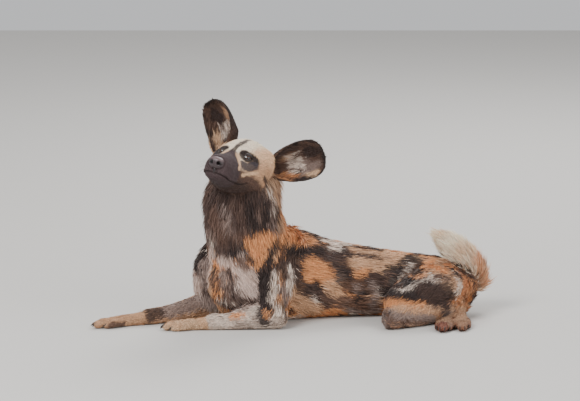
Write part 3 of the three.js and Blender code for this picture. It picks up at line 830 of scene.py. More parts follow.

# Markings and two painted shades as strokes: ink, half width and places as pixels of the photo's frame.
# A stroke is laid on the skin where the camera's line through each place meets it.
STROKES = [
    # trunk, from the withers to the rump
    ("dark", 14, [(300, 250), (318, 256), (345, 262), (372, 268)]),
    ("dark", 10, [(285, 262), (300, 270), (300, 290)]),
    ("dark", 11, [(330, 275), (352, 285), (372, 280)]),
    ("brown", 9, [(322, 296), (345, 302), (368, 306)]),
    ("tan", 6, [(346, 250), (370, 253), (398, 257), (424, 262)]),
    ("buff", 3.4, [(378, 252), (396, 255), (414, 258)]),
    ("tan", 7, [(348, 262), (372, 266), (394, 262)]),
    ("white", 5.5, [(318, 240), (330, 243), (342, 245)]),
    ("white", 2.5, [(322, 246), (334, 250)]),
    ("orange", 6, [(288, 232), (296, 234), (303, 239)]),
    ("black", 5, [(286, 244), (300, 248), (316, 250)]),
    ("black", 4, [(306, 236), (314, 242)]),
    ("orange", 9, [(306, 272), (314, 268), (320, 276)]),
    ("orange", 5, [(300, 262), (310, 260)]),
    ("tan", 8, [(290, 298), (300, 304), (310, 308)]),
    ("tan", 6, [(322, 284), (332, 290)]),
    ("white", 4, [(288, 262), (290, 272), (287, 282)]),
    ("grey", 5, [(284, 284), (286, 294)]),
    ("grey", 4.5, [(366, 284), (370, 292), (366, 302)]),
    ("white", 1.6, [(374, 286), (372, 296)]),
    ("grey", 3, [(350, 284), (356, 294)]),
    ("grey", 5, [(340, 308), (356, 310), (372, 310)]),
    ("orange", 4, [(350, 274), (358, 270)]),
    ("black", 4, [(336, 268), (344, 276)]),
    ("black", 4, [(356, 292), (350, 300)]),
    # rump and thigh
    ("tan", 10, [(436, 262), (446, 272), (452, 282)]),
    ("orange", 7, [(424, 262), (436, 267), (446, 270)]),
    ("black", 8, [(404, 258), (412, 264), (420, 272)]),
    ("black", 6, [(404, 270), (410, 280), (420, 282)]),
    ("black", 7, [(386, 270), (382, 282), (380, 292)]),
    ("black", 6, [(398, 262), (392, 272)]),
    ("white", 2.5, [(405, 264), (400, 272), (394, 281), (389, 291)]),
    ("white", 2.0, [(390, 291), (398, 288), (406, 287)]),
    ("white", 2.6, [(405, 288), (414, 286), (420, 281), (430, 278)]),
    ("black", 2.4, [(393, 277), (391, 283)]),
    ("brown", 2.2, [(383, 272), (379, 284)]),
    ("black", 5.5, [(384, 294), (396, 292), (408, 294)]),
    ("dark", 9, [(426, 286), (438, 290), (450, 290)]),
    ("dark", 7, [(432, 298), (446, 300), (454, 296)]),
    # painted shade: this brown stroke darkens the crease between the rump and the thigh
    ("brown", 5, [(440, 276), (450, 278)]),
    ("orange", 6, [(392, 301), (408, 303), (424, 305)]),
    ("tan", 7, [(400, 308), (420, 311), (440, 312)]),
    ("brown", 5, [(388, 316), (404, 320), (424, 320)]),
    ("grey", 5, [(396, 312), (410, 315), (430, 317)]),
    # chest and arms
    ("pale", 9, [(203, 242), (198, 256), (197, 272), (199, 292)]),
    ("pale", 8, [(212, 246), (211, 258), (210, 274), (212, 292)]),
    ("grey", 3, [(206, 262), (206, 284)]),
    ("grey", 2.4, [(196, 262), (194, 280)]),
    ("grey", 2.4, [(214, 252), (222, 249), (230, 251)]),
    ("pale", 6, [(220, 254), (228, 258), (236, 264)]),
    ("grey", 7, [(206, 262), (207, 280), (210, 300)]),
    ("grey", 7, [(224, 270), (228, 284), (232, 296)]),
    ("pale", 5, [(236, 268), (238, 280), (236, 290)]),
    ("dark", 3.6, [(217, 264), (215, 274), (218, 284)]),
    ("dark", 4.2, [(227, 265), (231, 272), (231, 280)]),
    ("brown", 3.4, [(219, 272), (224, 284), (232, 298)]),
    ("dark", 4.5, [(206, 288), (216, 293), (226, 300)]),
    ("white", 2.4, [(220, 294), (232, 297), (244, 298)]),
    ("grey", 2.0, [(222, 262), (224, 276)]),
    ("dark", 8, [(236, 292), (246, 296)]),
    ("pale", 9, [(246, 252), (246, 264), (248, 276)]),
    ("pale", 6, [(240, 278), (244, 286), (252, 288)]),
    ("brown", 5, [(240, 254), (243, 260)]),
    ("black", 4.5, [(254, 262), (258, 268)]),
    ("black", 8, [(262, 270), (264, 282), (262, 294)]),
    ("white", 3.4, [(274, 268), (275, 280), (272, 294)]),
    ("white", 3, [(279, 300), (280, 312)]),
    ("black", 7, [(266, 302), (266, 312), (268, 320)]),
    ("orange", 2.6, [(268, 308), (272, 316)]),
    ("grey", 6, [(256, 300), (246, 306), (234, 310)]),
    ("pale", 4, [(252, 304), (240, 308), (226, 312)]),
    ("orange", 3.6, [(246, 314), (236, 316)]),
    ("orange", 10, [(262, 234), (258, 244), (254, 252)]),
    ("orange", 7, [(248, 236), (256, 232), (270, 232)]),
    ("black", 3.2, [(240, 234), (243, 244), (250, 256)]),
    ("black", 4, [(274, 236), (270, 248), (264, 260)]),
    ("dark", 5, [(284, 240), (280, 252), (276, 262)]),
    # far foreleg
    ("grey", 9, [(200, 300), (184, 305), (172, 309)]),
    ("dark", 7, [(160, 311), (154, 314)]),
    ("orange", 6, [(150, 309), (142, 312)]),
    ("tan", 9, [(138, 317), (120, 320), (104, 323)]),
    ("brown", 3.4, [(124, 324), (112, 325)]),
    # neck
    ("orange", 5, [(280, 212), (281, 222), (278, 232)]),
    ("tan", 4, [(270, 186), (274, 194), (277, 204)]),
    ("white", 2.6, [(266, 184), (270, 192), (270, 204)]),
    ("orange", 3, [(280, 186), (282, 196), (281, 206)]),
    ("black", 4.5, [(262, 196), (264, 208), (262, 220)]),
    ("brown", 7, [(216, 204), (218, 218), (222, 232)]),
    ("grey", 2.6, [(228, 200), (230, 212), (232, 226)]),
    ("black", 5, [(250, 200), (252, 214), (250, 226)]),
    ("brown", 4, [(236, 230), (244, 226)]),
    # hind feet
    ("tan", 6, [(458, 312), (458, 318)]),
    ("red", 8, [(458, 324), (458, 330)]),
    ("red", 8, [(440, 324), (440, 330)]),
    # painted shadow: this dark stroke is the shade beside the end of the near shank, above the feet
    ("dark", 4, [(450, 306), (444, 316)]),
]


def laid_stroke(places):
    """A stroke's places on the skin: where the camera's line through each pixel meets it."""
    made = []
    right = np.array([1.0, 0.0, 0.0])
    rise = np.cross(right, LOOK)
    middle_x, middle_y = PHOTO_MIDDLE
    for x, y in places:
        target = AIM + right * (x - middle_x) * PIXEL * MM + rise * (middle_y - y) * PIXEL * MM
        way = unit(target - EYE_POINT)
        hit = skin_tree.ray_cast(Vector(EYE_POINT), Vector(way))
        if hit[0] is not None:
            made.append(unplace(np.array(hit[0])))
    return made


# Tints of single forms: ink, how strongly, ink of their spots, how far the spots go.
FORM_TINTS = {
    "forearm_left": ("white", 0.8, "brown", 0.5),
    "forearm_right": ("tan", 0.75, "grey", 0.4),
    "arm_left": ("dark", 0.3, "tan", 0.3),
    "arm_right": ("white", 0.5, "grey", 0.4),
    "thigh_right": ("grey", 0.5, "tan", 0.5),
    "shank_left": ("orange", 0.85, "tan", 0.5),
    "shank_right": ("grey", 0.75, "tan", 0.6),
    "fore_left": ("buff", 0.75, "tan", 0.5),
    "fore_right": ("tan", 0.8, "orange", 0.4),
    "hind_left": ("tan", 0.8, "buff", 0.5),
    "hind_right": ("tan", 0.8, "grey", 0.5),
}


def neck_colours(mm):
    """The neck: finely mottled dark brown and grey, darkest at the throat, tan and orange behind."""
    fine = noise(mm * [1, 1, 0.45], 13, 71) + 0.6 * noise(mm * [1, 1, 0.5], 5, 72)
    tone = np.tile(INK["dark"], (len(mm), 1))
    tone = blend(tone, INK["brown"], step(fine, -0.3, 0.5))
    lower = 1 - step(mm[:, 2], 240, 330)
    tone = blend(tone, INK["grey"], step(fine, 0.0, 0.8) * (0.35 + 0.5 * lower))
    row = row_at(NECK, np.interp(mm[:, 2], NECK[:, 2], np.arange(len(NECK))))
    behind = ((mm - row[:, :3]) @ unit([0.75, 0.66, 0])) / 80
    ragged = 0.25 * noise(mm * [1, 1, 0.4], 20, 73)
    tone = blend(tone, INK["tan"], 0.85 * step(behind + ragged, 0.42, 0.7))
    return blend(tone, INK["orange"], 0.8 * step(behind + ragged + 0.3 * noise(mm, 30, 74), 0.75, 1.0))


def body_colours(mm):
    """The species' blotches: broad noise picks dark, orange and white, with ragged edges."""
    ragged = 0.35 * noise(mm, 14, 3) + 0.2 * noise(mm, 6, 4)
    broad = noise(mm * [1, 1, 0.8], 62, 7) + ragged
    second = noise(mm * [1, 1, 0.8], 48, 8) + ragged
    third = noise(mm * [1, 1, 0.8], 44, 9) + ragged
    colours = np.tile(INK["dark"], (len(mm), 1))
    colours = blend(colours, INK["brown"], 0.7 * step(noise(mm, 9, 11), 0.0, 0.5))
    colours = blend(colours, INK["black"], step(third, 0.15, 0.35))
    colours = blend(colours, INK["orange"], step(broad, 0.16, 0.3))
    colours = blend(colours, INK["tan"], step(noise(mm, 26, 10), 0.0, 0.5) * step(broad, 0.16, 0.3))
    colours = blend(colours, INK["white"], step(second, 0.45, 0.6))
    form = nearest(mm)[:, 7].astype(int)
    spots = noise(mm, 17, 81) + ragged
    for name, (ink, strength, spot, reach) in FORM_TINTS.items():
        mine = form == FORM_NAMES.index(name)
        tone = blend(colours[mine], INK[ink], np.full(mine.sum(), strength))
        colours[mine] = blend(tone, INK[spot], reach * step(spots[mine], 0.1, 0.4))
    high = step(mm[:, 2] + 14 * noise(mm, 24, 82), 214, 250) * (mm[:, 0] < 60)
    return colours * (1 - high[:, None]) + neck_colours(mm) * high[:, None]


def painted(mm, colours):
    """The strokes laid over the blotches: full ink inside a ragged half width, none outside it."""
    ragged = 3.6 * noise(mm, 12, 21) + 3.0 * noise(mm, 5, 22)
    for ink, half, places in STROKES:
        line = laid_stroke(places)
        if len(line) < 2:
            continue
        line = np.array(line)
        half = half * PIXEL
        near = np.all((mm > line.min(0) - half - 12) & (mm < line.max(0) + half + 12), axis=1)
        if not near.any():
            continue
        q = mm[near]
        away = np.min([segment_distance(q, a, b)[0] for a, b in zip(line[:-1], line[1:])], axis=0)
        share = 1 - step(away + ragged[near], half - 3.5, half + 3.0)
        colours[near] = blend(colours[near], INK[ink], STROKE_STRENGTH * share)
    return colours


# Face strokes, laid like the body's and then mirrored to the other side.
FACE_STROKES = [
    ("black", 5.6, [(244.0, 155.5), (249.0, 158.0), (254.0, 161.5)]),
    ("slate", 4.8, [(243.0, 164.5), (248.5, 167.5), (254.0, 166.0)]),
    ("black", 3.4, [(243.0, 153.0), (248.0, 154.5), (255.5, 160.5)]),
    ("black", 1.7, [(234.5, 151.0), (236.0, 147.0), (240.0, 143.5), (246.0, 141.0), (253.0, 139.8)]),
    ("buff", 2.0, [(236.5, 154.0), (238.5, 160.0), (239.0, 168.0)]),
    ("buff", 1.6, [(242.0, 175.0), (249.0, 174.0), (256.0, 173.5)]),
    ("tan", 3.4, [(262.0, 178.0), (266.0, 186.0), (268.0, 196.0)]),
    ("dark", 2.4, [(263.0, 177.0), (266.0, 179.0)]),
]


def head_colours(mm):
    """The face: dark muzzle, pale crown with a dark stripe, dark eyes, tan cheeks and dark jaws."""
    h = to_head(mm)
    x, y, z = h[:, 0], np.abs(h[:, 1]), h[:, 2]
    ragged = 2.4 * noise(mm, 9, 41) + 1.8 * noise(mm, 4, 42)
    colours = np.tile(INK["cream"], (len(mm), 1))
    colours = blend(colours, INK["buff"], step(y + ragged, 24, 50))
    colours = blend(colours, INK["tan"], 0.8 * step(y + ragged, 50, 62) * step(-z, -14, 14))
    colours = blend(colours, INK["brown"], step(-z + 0.25 * x + ragged, 32, 46))
    colours = blend(colours, INK["dark"], step(-z + 0.2 * x + ragged, 52, 74))
    colours = blend(colours, INK["muzzle"], step(x - 0.35 * y + 0.1 * z + ragged, 16, 25))
    colours = blend(colours, INK["black"], 0.5 * step(-z + ragged, 66, 84) * step(x, 0, 30))
    line_inks = []
    for ink, half, places in FACE_STROKES:
        line = laid_stroke(places)
        if len(line) > 1:
            line = to_head(np.array(line))
            line[:, 1] = np.abs(line[:, 1])
            line_inks.append((ink, half * PIXEL, line))
    folded = np.stack([x, y, z], 1)
    for ink, half, line in line_inks:
        away = np.min([segment_distance(folded, a, b)[0] for a, b in zip(line[:-1], line[1:])], axis=0)
        share = 1 - step(away + 0.8 * ragged, half - 2.5, half + 2.0)
        colours = blend(colours, INK[ink], STROKE_STRENGTH * share)
    colours = blend(colours, INK["black"], 1 - step(mouth_distance(h), 1.6, 3.6))
    nape = step(-x + ragged, 88, 112)
    colours = blend(colours, INK["tan"], nape)
    return blend(colours, INK["dark"], nape * step(-z + ragged, 26, 56))


# Inks inside each ear: ink, share along it, share across it, reach along, reach across, strength.
EAR_INKS = {
    "left": [
        ("grey", 0.62, -0.45, 0.3, 0.5, 0.7),
        ("brown", 0.12, 0.55, 0.28, 0.4, 0.9),
        ("tan", 0.2, 0.55, 0.16, 0.2, 0.8),
        ("black", 0.78, 0.4, 0.2, 0.4, 0.8),
        ("orange", 0.18, -0.8, 0.24, 0.24, 0.85),
        ("buff", 0.66, -0.8, 0.2, 0.2, 0.8),
        ("white", 0.42, -0.08, 0.24, 0.36, 0.95),
        # partly painted shade: black low in the hollow of the ear, over its dark inside
        ("black", 0.36, -0.5, 0.12, 0.14, 1.0),
    ],
    "right": [
        ("tan", 0.62, -0.35, 0.26, 0.3, 0.8),
        ("black", 0.7, 0.4, 0.2, 0.4, 0.85),
        # partly painted shade: black low in the hollow of the ear, over its dark inside
        ("black", 0.14, 0.2, 0.2, 0.42, 1.0),
        ("buff", 0.18, 0.84, 0.24, 0.24, 0.8),
        ("tan", 0.42, -0.62, 0.2, 0.2, 0.8),
        ("white", 0.42, 0.0, 0.2, 0.42, 0.95),
        ("white", 0.54, -0.05, 0.16, 0.12, 0.7),
    ],
}


def ear_colours(mm, normals):
    """The ears: near-black backs and rims; inside, soft blobs of ink by place along and across."""
    colours = np.tile(INK["dark"], (len(mm), 1))
    ragged = 0.12 * noise(mm, 11, 51) + 0.08 * noise(mm, 4, 52)
    for name in ("left", "right"):
        root, axis, opening, across = ear_axes(name)
        rel = mm - root
        mine = near_ear(mm, name, EAR_REACH)
        share = rel @ axis / EAR_LENGTH
        half = row_at(EAR, np.interp(share, EAR[:, 0], np.arange(len(EAR))))[:, 1] * EAR_WIDTH / 2
        wide = rel @ across / np.maximum(half, 8)
        inner = step(normals @ opening, 0.05, 0.35)
        tone = blend(np.tile(INK["dark"], (len(mm), 1)), INK["black"], step(share + ragged, 0.25, 0.8))
        inside = np.tile(INK["brown"], (len(mm), 1)) * 0.8
        lines = noise(np.stack([share * 26, wide * 46, 0 * share], 1), 5, 54)
        for ink, at, side, reach, reach_across, strength in EAR_INKS[name]:
            away = np.sqrt(((share - at) / reach) ** 2 + ((wide - side) / reach_across) ** 2)
            streak = step(lines, -0.35, 0.15) if ink == "white" else 1.0
            inside = blend(inside, INK[ink], strength * streak * (1 - step(away + 2.0 * ragged, 0.6, 1.1)))
        from_edge = np.maximum(np.abs(wide), (share - 0.42) * 1.8) + ragged
        rim = step(from_edge, 0.86, 0.98) * step(share, 0.22, 0.4)
        inside = blend(inside, INK["black"], 0.9 * rim)
        tone = tone * (1 - inner[:, None]) + inside * inner[:, None]
        colours[mine] = tone[mine]
    return colours


def tail_colours(mm, colours):
    """The tail: a tan root, then a pale brush, orange and brown at its lower outer side."""
    sample = nearest(mm)
    form, share = sample[:, 7], sample[:, 8]
    on_root = form == FORM_NAMES.index("tail")
    on_brush = form == FORM_NAMES.index("brush")
    colours[on_root] = blend(colours[on_root], INK["tan"], 0.8 * step(share[on_root], 0.2, 0.6))
    ragged = 0.1 * noise(mm, 12, 61) + 0.06 * noise(mm, 5, 62)
    tone = blend(np.tile(INK["cream"], (len(mm), 1)), INK["buff"], 0.7 * step(noise(mm, 20, 63), -0.2, 0.6))
    tone = blend(tone, INK["tan"], 0.5 * (1 - step(share + ragged, 0.1, 0.5)))
    outer = step(mm[:, 0], 488, 497) * (1 - step(share + ragged, 0.2, 0.32))
    tone = blend(tone, INK["brown"], 0.75 * outer)
    edge = step(mm[:, 0], 474, 482) * (1 - step(share + ragged, 0.3, 0.45)) * (1 - outer)
    tone = blend(tone, INK["orange"], 0.7 * edge)
    mine = on_brush[:, None].astype(float)
    return colours * (1 - mine) + tone * mine


def coat_colours(mm, normals, kinds):
    """Colour of the coat at each point, from its place alone, so that skin and hair agree."""
    colours = painted(mm, body_colours(mm))
    colours = tail_colours(mm, colours)
    paws = kinds == PAWS
    low = 1 - step(mm[:, 2] + 3 * noise(mm, 8, 91), 6, 28)
    hind = paws & (mm[:, 0] > 300) & (mm[:, 1] < -110)
    colours[hind] = blend(colours[hind], INK["red"], 0.75 * low[hind])
    near_head = step(mm[:, 2] + 10 * noise(mm, 16, 92), 356, 392) * (to_head(mm)[:, 2] > -88)
    head_at = np.clip(near_head * (kinds == BODY) + (kinds == HEAD), 0, 1)
    face = head_colours(mm)
    colours = colours * (1 - head_at[:, None]) + face * head_at[:, None]
    ears = kinds == EARS_KIND
    colours[ears] = ear_colours(mm[ears], normals[ears])
    return colours


skin_mm = unplace(skin_points)
skin_tone = coat_colours(skin_mm, skin_normals, KINDS)


def colour_points(made, colours):
    """Stores a colour at every point, as the attribute "coat"."""
    data = made.data.attributes.new("coat", "FLOAT_COLOR", "POINT")
    rgba = np.ones((len(colours), 4), np.float32)
    rgba[:, :3] = colours
    data.data.foreach_set("color", rgba.ravel())


# partly painted shade: the skin is darker than the hairs, and this factor also paints the shade the coat
# casts on it
SKIN_DARK_AND_SHADED = 0.62  # the skin between the hairs is darker than they are
colour_points(skin, skin_tone * SKIN_DARK_AND_SHADED)

# The coat: tufts on the skin, each with two points at its root, two at its middle and one at its tip.
TUFT = 5
TUFT_FACES = np.array([[0, 3, 1], [0, 2, 3], [2, 4, 3]])
# painted shade and light: each tuft is darker at its root, where the coat shades it, and lighter at its tip
TUFT_ROOT_SHADE_TIP_LIGHT = np.array([0.6, 0.6, 0.95, 0.95, 1.15])
TUFT_PATCH = np.array([[0, 0], [1, 0], [0, 0.5], [1, 0.5], [0.5, 1]]) * 0.003
ROOT_DEPTH = 0.8


def surface_uv(mm, kinds):
    """An unwrap of the skin: each form a cell of the square, along it by its length, across by angle."""
    chosen = nearest(mm)
    form = chosen[:, 7].astype(int)
    way = chosen[:, 3:6]
    reach = mm - chosen[:, :3]
    length = np.clip(chosen[:, 8] + 0.002 * np.sum(reach * way, 1), 0, 1)
    side = unit(np.cross(way, [0.03, 0.05, 1.0]))
    rise = np.cross(side, way)
    angle = np.arctan2(np.sum(reach * rise, 1), np.sum(reach * side, 1)) / (2 * np.pi) + 0.5
    for name in ("left", "right"):
        root, axis, opening, across = ear_axes(name)
        rel = mm - root
        mine = (kinds == EARS_KIND) & near_ear(mm, name, EAR_REACH)
        form[mine] = FORM_NAMES.index("ear_" + name)
        length[mine] = np.clip(rel[mine] @ axis / EAR_LENGTH * 0.9 + 0.1, 0, 1)
        angle[mine] = np.arctan2(rel[mine] @ across, 40 - rel[mine] @ opening) / (2 * np.pi) + 0.5
    column, row = form % 5, form // 5
    return np.stack([(column + 0.03 + 0.93 * length) / 5, (row + 0.03 + 0.93 * angle) / 5], 1)


def make_tufts(name, p, n, lie, length, width, lift, tone, uv, rng):
    """Tufts of hair: a strip from a root row over a middle row to a tip.

    The middle lies half way along the lie, raised by the lift, and the tip sinks back to the coat.
    """
    count = len(p)
    side = np.cross(n, lie)
    turn = rng.normal(0, 0.16, count)[:, None]
    way = unit(lie + side * turn)
    side = unit(np.cross(n, way))
    length, width, lift = (np.asarray(v, float)[:, None] for v in (length, width, lift))
    points = np.empty((count, TUFT, 3))
    root = p - n * ROOT_DEPTH
    middle = p + way * length * 0.5 + n * (length * 0.55 * lift)
    tip = p + way * length + n * (length * 0.75 * lift)
    lean = n * width * rng.normal(0, 0.3, count)[:, None]
    points[:, 0] = root - side * width * 0.5 - lean
    points[:, 1] = root + side * width * 0.5 + lean
    points[:, 2] = middle - side * width * 0.42 - lean
    points[:, 3] = middle + side * width * 0.42 + lean
    points[:, 4] = tip
    metres = place(points.reshape(-1, 3))
    metres[:, 2] = np.maximum(metres[:, 2], HAIR_GAP * MM)
    faces = (TUFT_FACES[None] + TUFT * np.arange(count)[:, None, None]).reshape(-1, 3)
    made = mesh_object(name, metres, faces)
    tone = tone * (1 + rng.normal(0, 0.13, count))[:, None]
    colour_points(made, np.clip(tone[:, None, :] * TUFT_ROOT_SHADE_TIP_LIGHT[None, :, None], 0.002, 1).reshape(-1, 3))
    layout = made.data.uv_layers.new(name="OFBake")
    flat = (uv[:, None, :] + TUFT_PATCH[None]).reshape(-1, 2)
    layout.data.foreach_set("uv", flat[faces.ravel()].astype(np.float32).ravel())
    return made


def scattered(count, weight, rng):
    """Random places on the skin's triangles, as many on each as its area times its weight."""
    a, b, c = (skin_points[skin_faces[:, k]] for k in range(3))
    area = np.linalg.norm(np.cross(b - a, c - a), axis=1) / 2
    share = area * weight[skin_faces].mean(1)
    face = np.searchsorted(np.cumsum(share) / share.sum(), rng.random(count))
    face = np.minimum(face, len(skin_faces) - 1)
    u, v = np.sqrt(rng.random(count)), rng.random(count)
    w = np.stack([1 - u, u * (1 - v), u * v], 1)
    corners = skin_faces[face]
    p = np.einsum("ik,ikj->ij", w, skin_points[corners])
    n = unit(np.einsum("ik,ikj->ij", w, skin_normals[corners]))
    return p, n, KINDS[corners[:, 0]]


def buried(mm, kinds):
    """True for points of one surface that lie inside another: the head in the neck, ears in the head.

    Inside the head means that |side/width|^power + |height/half|^power is below one.
    """
    h = to_head(mm)
    row = row_at(SKULL, np.interp(-h[:, 0], -SKULL[:, 0], np.arange(len(SKULL))))
    middle, half = (row[:, 2] + row[:, 3]) / 2, (row[:, 2] - row[:, 3]) / 2
    margin = np.where(kinds == BODY, -0.5, 3.0)
    power = row[:, 4]
    filled = (np.abs(h[:, 1]) / (row[:, 1] - margin)) ** power
    filled += (np.abs(h[:, 2] - middle) / (half - margin)) ** power
    in_skull = (filled < 1) & (h[:, 0] < 112) & (h[:, 0] > -138)
    t = np.clip(np.interp(mm[:, 2], NECK[:, 2], np.arange(len(NECK))), 0, len(NECK) - 1)
    neck = row_at(NECK, t)
    from_neck = np.linalg.norm((mm - neck[:, :3])[:, :2], axis=1)
    in_neck = (from_neck < neck[:, 3:5].min(1) - 9) & (mm[:, 2] < 410)
    return ((kinds != HEAD) & in_skull) | ((kinds == HEAD) & in_neck)


# Length, width and lift of the hair, and for the legs its length and lift alone.
BODY_HAIR = (23.0, 1.7, 0.24)
BRUSH_HAIR = (34.0, 1.7, 0.4)
PAW_HAIR = (6.5, 1.1, 0.13)
EAR_FUR = (7.0, 1.0, 0.16)
LEG_HAIR = {
    "forearm_left": (12, 0.16),
    "forearm_right": (11, 0.15),
    "shank_left": (11, 0.14),
    "shank_right": (10, 0.14),
    "thigh_right": (14, 0.16),
    "thigh_left": (17, 0.18),
}


def hair_sizes(mm, kinds, rng):
    """Length, width and lift of the hair by where it grows, with a random spread."""
    height = mm[:, 2]
    form = nearest(mm)[:, 7]
    length, width, lift = (np.full(len(mm), value) for value in BODY_HAIR)
    neck = step(height, 215, 270) * (kinds == BODY)
    length += 5 * neck
    width -= 0.35 * neck
    lift += 0.04 * neck
    for name, (long, rise) in LEG_HAIR.items():
        mine = (form == FORM_NAMES.index(name)) & (kinds == BODY)
        length[mine], lift[mine] = long, rise
    ruff = step(height, 290, 330) * (kinds == BODY) * (form >= FORM_NAMES.index("neck"))
    length += 4 * ruff
    lift += 0.1 * ruff
    brush = (form == FORM_NAMES.index("brush")) & (kinds == BODY)
    length[brush], width[brush], lift[brush] = BRUSH_HAIR
    paws = kinds == PAWS
    length[paws], width[paws], lift[paws] = PAW_HAIR
    head = kinds == HEAD
    h = to_head(mm)
    back = step(-h[:, 0], -30, 100)
    low = step(-h[:, 2], 20, 80) * step(-h[:, 0], -30, 20)
    length[head] = (2.6 + 15 * back + 8 * low)[head]
    width[head] = (0.72 + 0.4 * back)[head]
    lift[head] = (0.1 + 0.12 * back + 0.04 * low)[head]
    ears = kinds == EARS_KIND
    length[ears], width[ears], lift[ears] = EAR_FUR
    spread = np.clip(rng.normal(1, 0.2, len(mm)), 0.5, 1.6)
    return length * spread, width, lift * np.clip(rng.normal(1, 0.4, len(mm)), 0.2, 2.2)


def clear_of_features(mm, kinds):
    """False where hair would cover the nose pad, the eyes or the mouth line."""
    h = to_head(mm)
    x, y, z = h[:, 0], np.abs(h[:, 1]), h[:, 2]
    nose = ((x - 103) / 17) ** 2 + (y / 22) ** 2 + ((z + 33) / 17) ** 2 < 1
    eye = (x - EYE_FORWARD) ** 2 + (y - EYE_SIDE) ** 2 + z ** 2 < (EYE_RADIUS + 1.2) ** 2
    lips = mouth_distance(h) < 2.2
    return ~((kinds == HEAD) & (nose | eye | lips))


COAT_PIECES = [  # name, kind of surface, number of tufts, number of pieces
    ("coat_body", BODY, 270000, 5),
    ("coat_paws", PAWS, 30000, 1),
    ("coat_head", HEAD, 104000, 2),
    ("coat_ears", EARS_KIND, 32000, 1),
]


def density(kind):
    """Where hair is set more thickly on one kind of surface."""
    weight = (KINDS == kind).astype(float)
    h = to_head(skin_mm)
    if kind == HEAD:
        weight *= 0.6 + 1.8 * step(h[:, 0], -10, 50)
    if kind == BODY:
        form = nearest(skin_mm)[:, 7]
        weight *= 1 + 1.6 * (form == FORM_NAMES.index("brush")) + 0.5 * (skin_mm[:, 2] < 60)
    return weight


def grow_coat():
    """Every piece of the coat, each under the limit of triangles."""
    rng = np.random.default_rng(20)
    made = []
    for name, kind, count, pieces in COAT_PIECES:
        p, n, kinds = scattered(count, density(kind), rng)
        mm = unplace(p)
        keep = ~buried(mm, kinds) & clear_of_features(mm, kinds) & (mm[:, 2] > 2.5)
        mm, n, kinds = mm[keep], n[keep], kinds[keep]
        lie = lie_of(mm, n, kinds)
        jitter = rng.normal(0, 1, mm.shape) * np.where(kinds == BODY, 3.8, 0.7)[:, None]
        tone = coat_colours(mm + jitter, n, kinds)
        length, width, lift = hair_sizes(mm, kinds, rng)
        uv = surface_uv(mm, kinds)
        order = np.argsort(mm[:, 0])
        for k, rows in enumerate(np.array_split(order, pieces)):
            made.append(make_tufts(f"{name}_{k + 1}", mm[rows], n[rows], lie[rows], length[rows],
                                   width[rows], lift[rows], tone[rows], uv[rows], rng))
    return made


coat = grow_coat()


def ear_hair(rng, count=1500):
    """Long hairs in each ear: they root on its inner wall and lie along it towards the tip."""
    made = []
    for name in ("left", "right"):
        root, axis, opening, across = ear_axes(name)
        share = 0.04 + 0.5 * rng.random(count)
        wide = np.clip(rng.normal(-0.05 if name == "right" else 0.05, 0.42, count), -0.95, 0.95)
        row = row_at(EAR, np.interp(share, EAR[:, 0], np.arange(len(EAR))))
        roll = np.minimum(np.radians(row[:, 2]), np.pi / 2)
        angle = np.radians(row[:, 2]) * wide
        radius = row[:, 1] * EAR_WIDTH / 2 / np.sin(roll)
        back = np.cos(roll) * radius
        r = radius - EAR_THICKNESS / 2 - 0.5
        p = (root + (share * EAR_LENGTH)[:, None] * axis + (r * np.sin(angle))[:, None] * across
             + (back - r * np.cos(angle))[:, None] * opening)
        n = unit(-np.sin(angle)[:, None] * across + np.cos(angle)[:, None] * opening)
        way = axis + 0.16 * rng.normal(0, 1, (count, 3)) - (0.45 * np.sin(angle))[:, None] * across
        way = unit(way - n * np.sum(way * n, 1)[:, None])
        tone = ear_colours(p, n)
        centre = (np.abs(wide) < 0.5) & (share > 0.16) & (rng.random(count) < 0.72)
        tone[centre] = blend(tone[centre], INK["white"], np.full(centre.sum(), 0.85))
        length = rng.uniform(14, 27, count)
        uv = surface_uv(p, np.full(count, EARS_KIND))
        made.append(make_tufts(f"ear_hair_{name}", p, n, way, length, np.full(count, 1.1),
                               np.full(count, 0.22), tone, uv, rng))
    return made


coat += ear_hair(np.random.default_rng(4))


# Eyes, lids, nose, whiskers and claws.
def ball(centre, radii, axes=np.eye(3), rings=48, sides=64, shape=None):
    """A closed ball: unit directions by two angles, scaled, and pushed by an optional function."""
    theta = np.linspace(0, np.pi, rings + 2)[1:-1]
    phi = -2 * np.pi * np.arange(sides) / sides
    d = np.stack([np.cos(theta)[:, None] + 0 * phi[None, :], np.sin(theta)[:, None] * np.cos(phi)[None, :],
                  np.sin(theta)[:, None] * np.sin(phi)[None, :]], -1)
    poles = np.array([[1.0, 0, 0], [-1.0, 0, 0]])
    grow = (lambda q: q) if shape is None else shape
    rings_of = grow(d) * radii
    ends = grow(poles) * radii
    points, faces = closed_grid(rings_of, ends[0], ends[1])
    return centre + points @ axes, faces


def eye_look(side):
    """The way an eye looks, in the part's axes."""
    return unit(EYE_LOOK * [1, side, 1]) @ HEAD_AXES


def eye_axes(side):
    """Three axes of an eye: out along its look, along the slit, and up."""
    look = eye_look(side)
    slit = unit(np.cross(UP, look))
    return np.stack([look, slit, np.cross(look, slit)])


